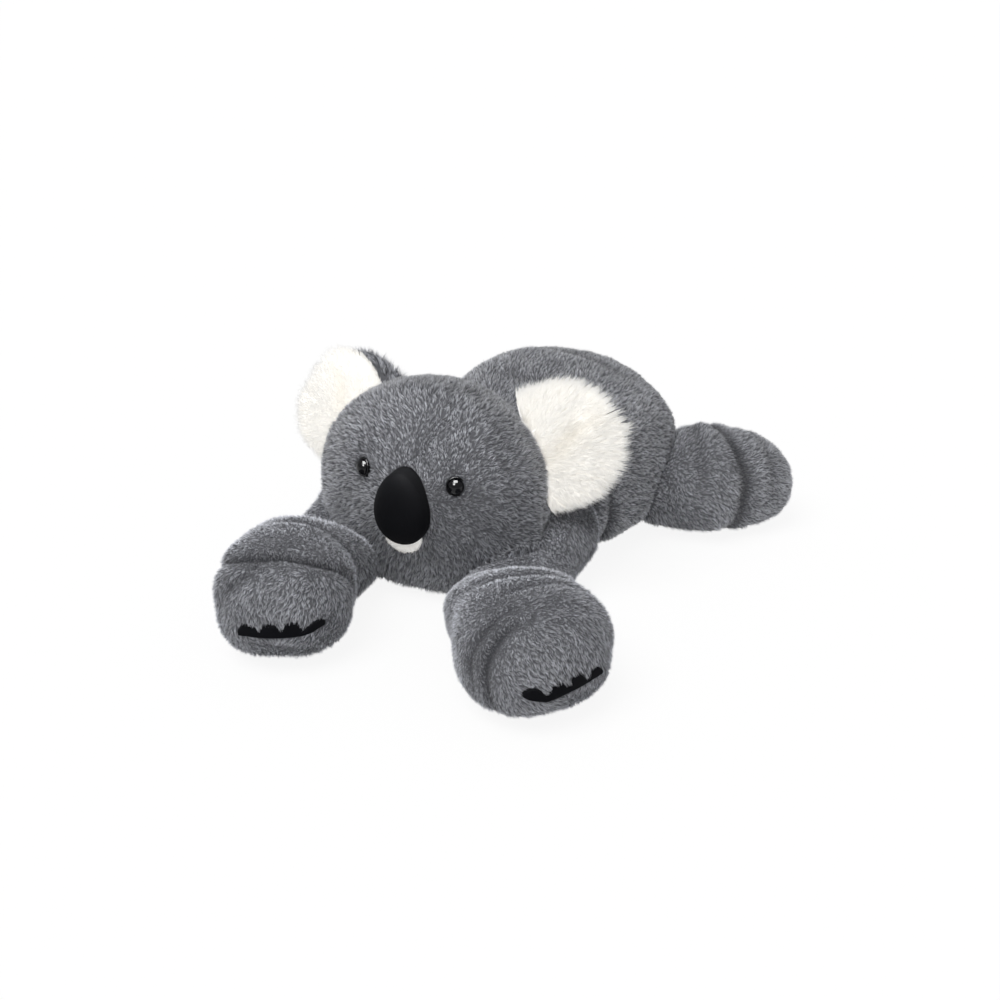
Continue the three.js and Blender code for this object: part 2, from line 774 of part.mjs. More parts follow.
function eyeRoom(place) {
  const hole = shankRadius + seamGap;
  const pocket = washerRadius + seamGap;
  const recess = eyeRadius + seamGap;
  const bottom = -eyeSink - shankLength - seamGap;
  const washerBottom = -washerDepth - washerThickness - seamGap;
  return placed(lathed([
    [0, bottom],
    [hole, bottom],
    [hole, washerBottom],
    [pocket, washerBottom],
    [pocket, -washerDepth + seamGap],
    [hole, -washerDepth + seamGap],
    [hole, -eyeSink - seamGap],
    [recess, -eyeSink - seamGap],
    [recess, cutOverrun],
    [0, cutOverrun],
  ]), place);
}

// Head

function headAt(depth) {
  const form = sewnForm(headForm, headSpine, -depth, depth > 0);
  return cut(form, [earPocket(1, depth), earPocket(-1, depth), floor]);
}

function makeHead() {
  const places = { left: eyePlace(1), right: eyePlace(-1) };
  const rooms = [eyeRoom(places.left), eyeRoom(places.right)];
  const skin = cut(headAt(0), [headAt(pileFabric), neckMouth, ...faceRecesses(), ...rooms]);
  addPiece('head_skin', largest(skin), charcoal, 0.95);
  addPiece('head_stuffing', largest(cut(headAt(pileFabric + stuffingGap), rooms)), polyester, 0.9);
  for (const [side, place] of Object.entries(places)) {
    addPiece(`eye_${side}`, eyeSolid(place), black, 0.06);
    addPiece(`eye_washer_${side}`, washerSolid(place), clearPlastic, 0.5);
  }
}

makeTorso();
makeHead();
makeNose();
for (const side of ['left', 'right']) {
  makeArm(side);
  makeLeg(side);
  const way = side === 'left' ? 1 : -1;
  addPiece(`ear_front_${side}`, earLayer(way, earFrontThickness, 1), ivory, 0.95);
  addPiece(`ear_back_${side}`, earLayer(way, earBackThickness, -1), charcoal, 0.95);
}

// The middle of the whole toy's base is the origin.
const bounds = new THREE.Box3().setFromObject(koala);
const middle = bounds.getCenter(new THREE.Vector3());
for (const mesh of koala.children) mesh.geometry.translate(-middle.x, -middle.y, -bounds.min.z);

export default koala;
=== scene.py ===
"""A plush koala lying on its belly: furred skins, ears, nose, chin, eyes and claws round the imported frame."""
import json
import math
from dataclasses import dataclass

import bpy
import numpy as np
from bpy.props import FloatProperty, FloatVectorProperty, PointerProperty
from mathutils import Matrix, Vector
from mathutils.bvhtree import BVHTree
from mathutils.kdtree import KDTree


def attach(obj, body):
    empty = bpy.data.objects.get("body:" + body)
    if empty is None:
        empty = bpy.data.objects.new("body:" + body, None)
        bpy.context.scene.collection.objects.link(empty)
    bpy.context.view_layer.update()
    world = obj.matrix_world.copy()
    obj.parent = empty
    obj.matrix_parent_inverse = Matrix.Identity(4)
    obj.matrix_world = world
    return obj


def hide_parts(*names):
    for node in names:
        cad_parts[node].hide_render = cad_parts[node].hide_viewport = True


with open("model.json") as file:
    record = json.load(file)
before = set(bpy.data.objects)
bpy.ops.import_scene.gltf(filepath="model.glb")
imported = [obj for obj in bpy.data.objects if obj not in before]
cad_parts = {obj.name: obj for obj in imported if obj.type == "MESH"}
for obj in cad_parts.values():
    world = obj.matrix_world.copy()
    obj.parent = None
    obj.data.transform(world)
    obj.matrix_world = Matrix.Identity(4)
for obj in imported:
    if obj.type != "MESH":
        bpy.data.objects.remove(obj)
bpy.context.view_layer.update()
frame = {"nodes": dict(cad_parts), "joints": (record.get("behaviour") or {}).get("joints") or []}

bl_info = {
    "name": "Plush koala",
    "version": (1, 0, 0),
    "blender": (4, 5, 0),
    "location": "3D View > Sidebar > Koala",
    "description": "Builds the furred skins, the face, the ears and the claws of a plush koala",
    "category": "Mesh",
}

MM = 0.001
SIDES = {"left": 1, "right": -1}
AHEAD = -1
BACKWARD = 1
UP = np.array((0.0, 0.0, 1.0))
JOINTS = {joint["name"]: np.array(joint["pos_m"]) for joint in frame["joints"]}

# Head, in the frame's own sizes
NECK_BACK = 76 * MM
NECK_RADIUS = 46 * MM
NECK_HEIGHT = 66 * MM
FACE_DEPTH = 43 * MM
MUZZLE_DROP = 7 * MM
HEAD_WIDTH = 176 * MM
HEAD_TOP = 77 * MM
HEAD_BOTTOM = 78 * MM
RESTING_FLAT = 0.5 * MM
HEAD_HEIGHT = HEAD_BOTTOM - RESTING_FLAT
CENTRE = JOINTS["neck"] + np.array((0, -NECK_BACK, HEAD_HEIGHT - NECK_HEIGHT))

# Torso
TORSO_START = 34 * MM
TORSO_SHIFT = 10 * MM
TORSO_LENGTH = 196 * MM
TORSO_WIDTH = 186 * MM
TORSO_HEIGHT = 126 * MM
TORSO_HEADINGS = (8, 20)
TORSO_WIDTH_SHARES = (0.86, 0.92, 0.97, 1, 1, 0.99, 0.95)
TORSO_HEIGHT_SHARES = (0.75, 0.79, 0.86, 0.94, 1, 1, 0.97)
TORSO_POWER = 2.4
TORSO_POWER_BELOW = 3.6

# Limbs
ARM_LENGTHS = {"left": 230 * MM, "right": 238 * MM}
ARM_WIDTHS = {"left": 105 * MM, "right": 95 * MM}
ARM_ROOT_RADIUS = 34 * MM
ARM_HEIGHT = 84 * MM
PAW_LENGTH = 48 * MM
ARM_HEADINGS = {"left": (-5, 60), "right": (-5, 26)}
LEG_LENGTH = 97 * MM
LEG_ROOT_RADIUS = 34 * MM
LEG_WIDTH = 88 * MM
LEG_HEIGHT = 82 * MM
FOOT_LENGTH = 36 * MM
LEG_HEADINGS = {"left": (70, 32), "right": (-28, -6)}

# Ears
EAR_ROOT = 84 * MM
EAR_REACH = 66 * MM
EAR_CUP = 16 * MM
EAR_FRONT_THICKNESS = 9 * MM
EAR_BACK_THICKNESS = 7 * MM
EAR_ROOT_THICKNESS = 5 * MM
EAR_RIM = 1.6 * MM
EAR_FOLD = 2.6 * MM
EAR_ROOT_LOW = (87 * MM, 8 * MM, -9 * MM)
EAR_ROOT_HIGH = (44 * MM, 42 * MM, 54 * MM)
EAR_TURN = 20
EAR_SHORTER = {"left": 1.0, "right": 0.8}
EAR_INSET = 3.5 * MM
EAR_FOLD_PLACE = 0.15
EAR_FOLD_SLANT = 0.9
EAR_FOLD_WIDTH = 0.2
EAR_LAYER_GAP = 0.2 * MM
EAR_CURLS = (1.1, 0.5)
EAR_ROWS = 40
EAR_SIDES = 64
EAR_SAG = 0.1
EAR_ROOT_BEHIND = 10 * MM
EAR_WIDTH_SHARES = (0.88, 0.96, 1.01, 1.01, 0.95, 0.8, 0.55, 0)
EAR_THICKNESS_SHARES = (0, 0.4, 0.9, 1, 0.95, 0.85, 0.6, 0.3)

# Face
NOSE_WIDTH = 40 * MM
NOSE_HEIGHT = 54 * MM
NOSE_STAND = 10 * MM
NOSE_TAPER_SHARE = 0.16
CHIN_WIDTH = 28 * MM
CHIN_HEIGHT = 24 * MM
CHIN_STAND = 4 * MM
CHIN_SHOW = 7 * MM
CHIN_BACK = 2 * MM
CHIN_PILE_DEPTH = 2 * MM
CHIN_NOSE_GAP = 0.3 * MM
PAD_ROWS = 48
PAD_SIDES = 72
PAD_DEPTH = 14 * MM
EYE_RADIUS = 7 * MM
EYE_DOME = 6.2 * MM
EYE_SINK = 4.6 * MM
EYE_BEAD = 0.6 * MM
EYE_SIDES = 64
EYE_DOME_STEPS = 24
EYE_BEAD_STEPS = 18
EYE_BLACK = (0.002, 0.002, 0.003)
EYE_SPACING = 75 * MM
EYE_RISE = 19 * MM
EYE_TURN = 30
EYE_TILT = 10
# The hollow round each eye is also painted darker: EYE_HOLLOW_SHADE is its share of painted shade.
EYE_HOLLOW = 1.6 * MM
EYE_HOLLOW_REACH = 12 * MM
EYE_HOLLOW_SHADE = 0.55

# Claws and inside
CLAW_GRAIN = 0.5 * MM
CLAW_MERGE = 0.01 * MM
FIBRE_COLOURS = ((0.8, 0.8, 0.78), (0.93, 0.93, 0.91))
WASHER_COLOURS = ((0.6, 0.6, 0.58), (0.66, 0.66, 0.64))

# View
VIEW_AZIMUTH = 26
VIEW_ELEVATION = 26
VIEW_DISTANCE = 1400 * MM
VIEW_SHIFT_RIGHT = 49 * MM
VIEW_SHIFT_UP = -11.2 * MM
FLOOR_SIZE = 60
FLOOR_COLOUR = (0.97, 0.97, 0.97)
FLOOR_WHITE = 0.9
WORLD_LIGHT = 0.53
KEY_LIGHT = 1.95
KEY_SOFTNESS = 40
KEY_TURN = (29, -7, 0)
SOFTBOX_DISTANCE = 1.5
LENS_MM = 72
SENSOR_MM = 36


# Curves and forms

def smooth(shares, at):
    """Values at places from 0 to 1 of a table of shares that stand at even steps."""
    shares = np.asarray(shares, float)
    last = len(shares) - 1
    place = np.clip(at, 0, 1) * last
    index = np.minimum(np.floor(place).astype(int), last - 1)
    t = place - index
    before, start, end, after = (shares[np.clip(index + step, 0, last)] for step in (-1, 0, 1, 2))
    return 0.5 * (2 * start + (end - before) * t + (2 * before - 5 * start + 4 * end - after) * t ** 2
                  + (3 * start - before - 3 * end + after) * t ** 3)


def round_angles(count):
    """Even angles round a ring."""
    return np.arange(count) / count * 2 * np.pi


def unit(vectors):
    """The vectors at length one."""
    vectors = np.asarray(vectors, float)
    return vectors / np.maximum(np.linalg.norm(vectors, axis=-1, keepdims=True), 1e-12)


@dataclass
class Spine:
    """A level line that bends evenly: headings in degrees from straight ahead or back towards the left."""

    start: np.ndarray
    headings: tuple
    way: int
    length: float
    steps: int = 24

    def heading(self, along):
        first, last = np.radians(self.headings)
        return first + (last - first) * np.maximum(along, 0) / self.length

    def ahead(self, along):
        angle = self.heading(np.asarray(along, float))
        return np.stack((np.sin(angle), self.way * np.cos(angle), np.zeros_like(angle)), -1)

    def across(self, along):
        angle = self.heading(np.asarray(along, float))
        return np.stack((np.cos(angle), -self.way * np.sin(angle), np.zeros_like(angle)), -1)

    def point(self, along):
        along = np.asarray(along, float)
        points = np.tile(self.start, along.shape + (1,)).astype(float)
        for step in range(self.steps):
            points += self.ahead(along * (step + 0.5) / self.steps) * (along / self.steps)[..., None]
        return points


@dataclass
class Crease:
    """A fold across a form: its share along the form, its depth and half width, and the middle and half of its
    turn round the form in degrees. With a slant its ends lie nearer to the root than its middle."""

    share: float
    depth: float
    width: float
    turn: float = 90
    spread: float = 120
    slant: float = 0.0


@dataclass
class SewnForm:
    """A stuffed part: a round root, a body that swells along its spine, and a round end."""

    spine: Spine
    root_radius: float
    end_length: float
    half_width: float
    above: float
    below: float
    height: float
    width_shares: tuple
    height_shares: tuple
    power: float = 2.2
    power_below: float = 2.8
    end_power: float = 2.1
    end_power_below: float = 2.1
    tip_drop: float = 0.0
    creases: tuple = ()
    root_rows: int = 8
    body_rows: int = 110
    end_rows: int = 44

    def rows(self):
        """Each row's place in its part of the form, its fades above and below, and the part's name, with the length
        of the form that doesn't fade."""
        straight = self.spine.length - self.end_length
        table = []
        for step in range(self.root_rows):
            angle = step / self.root_rows * math.pi / 2
            table.append((-math.cos(angle), math.sin(angle), math.sin(angle), "root"))
        for step in range(self.body_rows + 1):
            table.append((straight * step / self.body_rows, 1.0, 1.0, "body"))
        for step in range(1, self.end_rows + 1):
            reach = math.sin(step / self.end_rows * math.pi / 2)
            fades = [(1 - reach ** power) ** (1 / power) for power in (self.end_power, self.end_power_below)]
            table.append((reach, *fades, "end"))
        return table, straight

    def surface(self, grow, sides):
        """The form's rings, grown outwards, the share along the form where each stands, and the points' angles."""
        table, straight = self.rows()
        angles = round_angles(sides)
        rings = []
        shares = []
        for along, fade, fade_below, part in table:
            if part == "root":
                radius = self.root_radius + grow
                along *= radius
                middle = self.spine.point(along)
                half = (radius * fade, radius * fade, radius * fade)
                powers = (2.0, 2.0)
            else:
                if part == "end":
                    along = straight + (self.end_length + grow) * along
                share = along / self.spine.length
                swell = float(smooth(self.height_shares, share))
                drop = self.tip_drop * (1 - fade)
                middle = self.spine.point(along)
                middle[2] = self.spine.start[2] + (self.height - self.spine.start[2]) * swell - drop
                grown = self.root_radius + grow
                half = (
                    (grown + (self.half_width - self.root_radius) * float(smooth(self.width_shares, share))) * fade,
                    (grown + (self.above - self.root_radius) * swell) * fade,
                    (grown + (self.below - self.root_radius) * swell) * fade_below,
                )
                blend = min(share * 2, 1)
                powers = (2 + (self.power - 2) * blend, 2 + (self.power_below - 2) * blend)
            rings.append(section(middle, self.spine.across(along), half, powers, angles))
            shares.append(along / self.spine.length)
        return np.array(rings), np.array(shares), angles


def section(middle, across, half, powers, angles):
    """An upright superellipse round a middle, whose upper and lower halves differ."""
    wide, above, below = half
    upper = np.sin(angles) > 0
    power = np.where(upper, powers[0], powers[1])
    level = np.sign(np.cos(angles)) * np.abs(np.cos(angles)) ** (2 / power) * wide
    lift = np.sign(np.sin(angles)) * np.abs(np.sin(angles)) ** (2 / power) * np.where(upper, above, below)
    return middle + across * level[:, None] + UP * lift[:, None]


@dataclass
class TorsoForm:
    """The body: round at both ends, narrower and lower at the shoulders than at the rump."""

    spine: Spine
    creases: tuple = ()
    count: int = 130

    def surface(self, grow, sides):
        """The body's rings, grown outwards, the share along it where each stands, and the points' angles."""
        angles = round_angles(sides)
        rings = []
        shares = []
        for step in range(self.count + 1):
            reach = -math.cos(math.pi * step / self.count)
            fade = max(1 - abs(reach) ** TORSO_POWER, 0) ** (1 / TORSO_POWER)
            share = (1 + reach) / 2
            along = TORSO_LENGTH * share
            middle = self.spine.point(along) + self.spine.ahead(along) * grow * reach
            lowered = TORSO_HEIGHT * (1 - float(smooth(TORSO_HEIGHT_SHARES, share)))
            half = (
                (TORSO_WIDTH / 2 * float(smooth(TORSO_WIDTH_SHARES, share)) + grow) * fade,
                (TORSO_HEIGHT / 2 - lowered + grow) * fade,
                (TORSO_HEIGHT / 2 + grow) * fade,
            )
            rings.append(section(middle, self.spine.across(along), half, (TORSO_POWER, TORSO_POWER_BELOW), angles))
            shares.append(share)
        return np.array(rings), np.array(shares), angles


def at_centre(x, y, z):
    """A place from the middle of the head's widest line."""
    return CENTRE + np.array((x, y, z))


TORSO = TorsoForm(
    Spine(np.array((CENTRE[0] + TORSO_SHIFT, CENTRE[1] + TORSO_START, TORSO_HEIGHT / 2 - RESTING_FLAT)),
          TORSO_HEADINGS, BACKWARD, TORSO_LENGTH),
    creases=(
        Crease(0.33, 3.2 * MM, 5 * MM, turn=-35, spread=38),
        Crease(0.24, 2.6 * MM, 5 * MM, turn=-20, spread=40),
        Crease(0.47, 1.6 * MM, 7 * MM, turn=60, spread=50, slant=0.05),
        Crease(0.72, 1.4 * MM, 7 * MM, turn=110, spread=50, slant=0.08),
        Crease(0.87, 2.0 * MM, 6 * MM, turn=-20, spread=45),
    ),
)

HEAD = SewnForm(
    Spine(JOINTS["neck"], (0, 0), AHEAD, NECK_BACK + FACE_DEPTH),
    root_radius=NECK_RADIUS, end_length=FACE_DEPTH, half_width=HEAD_WIDTH / 2, above=HEAD_TOP, below=HEAD_BOTTOM,
    height=HEAD_HEIGHT, width_shares=(0, 0.12, 0.45, 0.78, 0.95, 1, 1, 1, 1),
    height_shares=(0, 0.3, 0.66, 0.87, 0.97, 1, 1, 1, 1), power=1.95, power_below=3, end_power=1.6,
    end_power_below=2.6, tip_drop=MUZZLE_DROP,
)

ARM_CREASES = {
    "left": (
        Crease(0.875, 3.4 * MM, 4.6 * MM, turn=165, spread=52),
        Crease(0.825, 2.6 * MM, 4.4 * MM, turn=158, spread=46),
        Crease(0.75, 1.6 * MM, 5 * MM, turn=60, spread=60),
        Crease(0.65, 3.6 * MM, 6 * MM, turn=62, spread=70, slant=0.05),
        Crease(0.52, 2.8 * MM, 5.6 * MM, turn=70, spread=75, slant=0.03),
        Crease(0.37, 2.4 * MM, 6 * MM, turn=50, spread=60),
    ),
    "right": (
        Crease(0.872, 4.4 * MM, 5.2 * MM, turn=88, spread=95, slant=0.12),
        Crease(0.915, 2.0 * MM, 3.6 * MM, turn=145, spread=40, slant=0.06),
        Crease(0.66, 2.2 * MM, 6 * MM, turn=60, spread=50, slant=0.05),
        Crease(0.49, 3.8 * MM, 5.6 * MM, turn=110, spread=60, slant=0.03),
    ),
}
ARMS = {
    side: SewnForm(
        Spine(JOINTS[f"shoulder_{side}"], ARM_HEADINGS[side], AHEAD, ARM_LENGTHS[side]),
        root_radius=ARM_ROOT_RADIUS, end_length=PAW_LENGTH, half_width=ARM_WIDTHS[side] / 2,
        above=ARM_HEIGHT / 2, below=ARM_HEIGHT / 2, height=ARM_HEIGHT / 2 - RESTING_FLAT,
        width_shares=(0, 0, 0.1, 0.6, 0.85, 0.7, 1, 1, 1),
        height_shares=(0, 0.1, -1, -1.4, -0.2, 0.6, 1, 1, 1), creases=ARM_CREASES[side],
    )
    for side in SIDES
}
LEGS = {
    side: SewnForm(
        Spine(JOINTS[f"hip_{side}"], LEG_HEADINGS[side], BACKWARD, LEG_LENGTH),
        root_radius=LEG_ROOT_RADIUS, end_length=FOOT_LENGTH, half_width=LEG_WIDTH / 2,
        above=LEG_HEIGHT / 2, below=LEG_HEIGHT / 2, height=LEG_HEIGHT / 2 - RESTING_FLAT,
        width_shares=(0, 0.6, 1, 1, 0.3, 0.1, 0.4, 0.5), height_shares=(0, 0.7, 1, 0.95, 0.6, 0.5, 0.3, 0.2),
        creases=(
            Crease(0.52, 3.4 * MM, 6.0 * MM, turn=20, spread=150, slant=0.12),
            Crease(0.72, 1.6 * MM, 4.0 * MM, turn=60, spread=60, slant=0.05),
            Crease(0.24, 1.8 * MM, 5.0 * MM, turn=80, spread=60),
        ),
    )
    for side in SIDES
}


# Shader maths

class Field:
    """A node's output that takes part in sums written as plain Python."""

    def __init__(self, nodes, socket):
        self.nodes = nodes
        self.socket = socket

    def math(self, operation, first, second):
        return self.nodes.node("ShaderNodeMath", {"operation": operation}, {0: first, 1: second})

    def __add__(self, other):
        return self.math("ADD", self, other)

    __radd__ = __add__

    def __sub__(self, other):
        return self.math("SUBTRACT", self, other)

    def __rsub__(self, other):
        return self.math("SUBTRACT", other, self)

    def __mul__(self, other):
        return self.math("MULTIPLY", self, other)

    __rmul__ = __mul__

    def __pow__(self, other):
        return self.math("POWER", self, other)


class Nodes:
    """A tree whose nodes are made by one method."""

    def __init__(self, tree):
        self.tree = tree

    def node(self, kind, settings=None, values=None, output=0):
        """A node with its settings, and the values or links of its sockets."""
        made = self.tree.nodes.new(kind)
        for name, value in (settings or {}).items():
            setattr(made, name, value)
        for socket, value in (values or {}).items():
            self.feed(made.inputs[socket], value)
        return Field(self, made.outputs[output])

    def feed(self, socket, value):
        """Links a field to a socket, or sets the socket's own value."""
        if isinstance(value, Field):
            self.tree.links.new(value.socket, socket)
        elif hasattr(value, "__len__") and len(value) == 3 and socket.type == "RGBA":
            socket.default_value = (*value, 1)
        else:
            socket.default_value = value


class Shader(Nodes):
    """A material, and the patterns that its surface is made of."""

    def __init__(self, name):
        self.material = bpy.data.materials.new(name)
        self.material.use_nodes = True
        super().__init__(self.material.node_tree)
        self.surface = self.tree.nodes["Principled BSDF"]

    def set(self, **values):
        """Sets or links the surface's own sockets, named with underscores for spaces."""
        for name, value in values.items():
            self.feed(self.surface.inputs[name.replace("_", " ")], value)

    def noise(self, scale, detail, roughness=0.5):
        """Noise in the piece's own space."""
        place = self.node("ShaderNodeTexCoord", output="Object")
        values = {"Vector": place, "Scale": scale, "Detail": detail, "Roughness": roughness}
        return self.node("ShaderNodeTexNoise", {}, values, "Fac")

    def mix(self, factor, first, second):
        """A colour between two colours."""
        settings = {"data_type": "RGBA"}
        return self.node("ShaderNodeMix", settings, {0: factor, 6: first, 7: second}, 2)

    def scaled(self, colour, factor):
        """A colour brightened or darkened by a factor."""
        return self.node("ShaderNodeVectorMath", {"operation": "SCALE"}, {0: colour, "Scale": factor})

    def bump(self, height, strength, distance):
        """A normal for fine relief."""
        values = {"Height": height, "Strength": strength, "Distance": distance}
        return self.node("ShaderNodeBump", {}, values, "Normal")


STRAND_MAP = "strand"
SHADE_CURVE = 1.4
PATCH_SCALE = 28
GREY_HEATHER = 0.64
GREY_PATCHES = 0.3
WHITE_HEATHER = 0.05
WHITE_PATCHES = 0.05
WHITE_GLOW = 0.24
FELT_SHEEN = 0.015
FELT_GLOSS = 0.05


def pile_material(name, root, tip, heather, patches, glow=0.0):
    """Fur whose strands lighten towards their tips: each strand has its own shade in the strand map. The glow
    stands for light that passes through pale fibres."""
    shader = Shader(name)
    strand = shader.node("ShaderNodeUVMap", {"uv_map": STRAND_MAP})
    parts = {"Vector": strand}
    shade = shader.node("ShaderNodeSeparateXYZ", {}, parts, "X")
    along = shader.node("ShaderNodeSeparateXYZ", {}, parts, "Y")
    lightness = 1 - heather * (1 - 2 * shade ** SHADE_CURVE)
    blotches = 1 - patches * (0.5 - shader.noise(PATCH_SCALE, 3))
    colour = shader.scaled(shader.mix(along, root, tip), lightness * blotches)
    shader.set(Base_Color=colour, Roughness=0.9, Specular_IOR_Level=0.0, Sheen_Weight=0.25, Sheen_Roughness=0.5)
    if glow:
        shader.set(Emission_Color=colour, Emission_Strength=glow)
    return shader.material


def felt_material(name, colour, rough, grain):
    """Short felt or brushed cloth with a fine grain."""
    shader = Shader(name)
    fibres = shader.noise(1400, 4, 0.6)
    lumps = shader.noise(160, 3)
    shader.set(Base_Color=shader.scaled(colour, 0.75 + fibres * 0.5), Roughness=rough,
               Normal=shader.bump(fibres * 0.7 + lumps * 0.3, grain, 0.4 * MM), Sheen_Weight=FELT_SHEEN,
               Specular_IOR_Level=FELT_GLOSS)
    return shader.material


# Meshes

def select_only(piece):
    """The one selected and active object."""
    bpy.ops.object.select_all(action="DESELECT")
    piece.select_set(True)
    bpy.context.view_layer.objects.active = piece


def in_edit_mode(piece, step, **settings):
    """Runs an edit operator on all of a piece."""
    select_only(piece)
    bpy.ops.object.mode_set(mode="EDIT")
    bpy.ops.mesh.select_all(action="SELECT")
    step(**settings)
    bpy.ops.object.mode_set(mode="OBJECT")


def coordinates(piece):
    """A mesh's points as an array."""
    points = np.zeros(len(piece.data.vertices) * 3)
    piece.data.vertices.foreach_get("co", points)
    return points.reshape(-1, 3)


def put_back(piece, points):
    """Moves a mesh's points."""
    piece.data.vertices.foreach_set("co", np.asarray(points, float).ravel())
    piece.data.update()


def vertex_normals(piece):
    """A mesh's smooth normals as an array."""
    normals = np.zeros(len(piece.data.vertices) * 3)
    piece.data.vertex_normals.foreach_get("vector", normals)
    return normals.reshape(-1, 3)


def shaped_ball(name, rings, shares, angles):
    """A ball whose rows of points are moved to the rings, and each point's own place along and round the form."""
    rows = len(rings) - 1
    sides = rings.shape[1]
    bpy.ops.object.select_all(action="DESELECT")
    bpy.ops.mesh.primitive_uv_sphere_add(segments=sides, ring_count=rows, radius=1, location=(0, 0, 0))
    piece = bpy.context.object
    piece.name = name
    piece.data.name = name
    points = coordinates(piece)
    row = np.rint(np.arccos(np.clip(points[:, 2], -1, 1)) / np.pi * rows).astype(int)
    side = np.rint(np.arctan2(points[:, 1], points[:, 0]) / (2 * np.pi) * sides).astype(int) % sides
    side[(row == 0) | (row == rows)] = 0
    order = np.argsort(row * sides + side)
    row, side = row[order], side[order]
    placed = rings[row, side]
    for pole in (0, rows):
        placed[row == pole] = rings[pole].mean(axis=0)
    in_fixed_order(piece, order, placed)
    if signed_volume(piece) < 0:
        in_edit_mode(piece, bpy.ops.mesh.flip_normals)
    return piece, shares[row], angles[side]


def in_fixed_order(piece, order, placed):
    """Moves a primitive's points, and puts points and faces in one order, because theirs differs from run to run."""
    mesh = piece.data
    number = np.argsort(order)
    faces = []
    for polygon in mesh.polygons:
        corners = number[list(polygon.vertices)].tolist()
        first = corners.index(min(corners))
        faces.append(corners[first:] + corners[:first])
    mesh.clear_geometry()
    mesh.from_pydata(placed, [], sorted(faces))


def smooth_piece(name, surface, material):
    """A ball shaped to a surface's rings, in one material."""
    piece = shaped_ball(name, *surface)[0]
    piece.data.materials.append(material)
    select_only(piece)
    bpy.ops.object.shade_smooth()
    return piece


def triangles(piece):
    """The corners' numbers of a mesh's triangles."""
    piece.data.calc_loop_triangles()
    corners = np.zeros(len(piece.data.loop_triangles) * 3, int)
    piece.data.loop_triangles.foreach_get("vertices", corners)
    return corners.reshape(-1, 3)


def signed_volume(piece):
    """A mesh's volume, negative where its faces look inwards."""
    a, b, c = (coordinates(piece)[triangles(piece)[:, corner]] for corner in range(3))
    return float(np.einsum("ij,ij->i", a, np.cross(b, c)).sum())


WAVES = 7
WAVE_SUM = 3.2


def ripples(points, size, seed):
    """Smooth noise, mostly from -1 to 1, with bumps of about the given size."""
    rng = np.random.default_rng(seed)
    waves = rng.normal(size=(WAVES, 3))
    waves = unit(waves) * (2 * np.pi / size) * rng.uniform(0.6, 1.4, size=(WAVES, 1))
    phases = rng.uniform(0, 2 * np.pi, size=WAVES)
    return np.sin(points @ waves.T + phases).sum(axis=1) / WAVE_SUM


# A fold's share, from 0 to 1, shortens the strands there and paints shade into the fold: strands and skin fall back
# towards their dark root colour by FOLD_SHADE.
FOLD_SHADE_LAYER = "fold"
FOLD_FULL = 3.2 * MM
FOLD_SHADE = 0.85
FOLD_SHADE_NARROWER = 1.2
FOLD_FADE = 1.5
FOLD_WANDER = 1.3 * MM
FOLD_WANDER_SIZE = 45 * MM
BROAD_LUMP = 70 * MM
SMALL_LUMP = 28 * MM
SMALL_LUMP_SHARE = 0.35


def set_fold_shade(piece, depths):
    """Notes each of a mesh's points' share, from 0 to 1, of a fold or hollow, which shortens the strands there and
    paints shade into it.
    """
    layer = piece.data.attributes.get(FOLD_SHADE_LAYER) or piece.data.attributes.new(FOLD_SHADE_LAYER, "FLOAT", "POINT")
    layer.data.foreach_set("value", np.clip(depths, 0, 1))


def taken_fold_shade(piece):
    """The noted shares of fold and painted shade, which are removed from the mesh."""
    depths = np.zeros(len(piece.data.vertices))
    layer = piece.data.attributes.get(FOLD_SHADE_LAYER)
    if layer:
        layer.data.foreach_get("value", depths)
        piece.data.attributes.remove(layer)
    return depths


def creased(piece, form, shares, angles, lumps, seed):
    """Presses the folds into a form, gives it the uneven swell of stuffing, and notes the painted shade along each
    fold's middle.
    """
    points = coordinates(piece)
    depth = np.zeros(len(points))
    dark = np.zeros(len(points))
    length = form.spine.length
    wander = ripples(points, FOLD_WANDER_SIZE, seed + 1) * FOLD_WANDER
    for crease in form.creases:
        turned = (angles - math.radians(crease.turn) + np.pi) % (2 * np.pi) - np.pi
        centre = crease.share + crease.slant * (np.cos(turned) - 1)
        across = ((shares - centre) * length + wander) / crease.width
        reach = np.clip(FOLD_FADE - np.abs(turned) / math.radians(crease.spread), 0, 1)
        reach = reach ** 2 * (3 - 2 * reach)
        depth += crease.depth * np.exp(-across ** 2) * reach
        # painted shade: a band narrower than the groove, full where the fold is FOLD_FULL deep
        dark += min(crease.depth / FOLD_FULL, 1) * np.exp(-(across * FOLD_SHADE_NARROWER) ** 2) * reach
    swell = ripples(points, BROAD_LUMP, seed) + ripples(points, SMALL_LUMP, seed + 2) * SMALL_LUMP_SHARE
    put_back(piece, points + vertex_normals(piece) * (swell * lumps - depth)[:, None])
    set_fold_shade(piece, dark)


SEARCH_REACH = 40 * MM
DENT_REACH = 60 * MM
COVER_REACH = 9 * MM


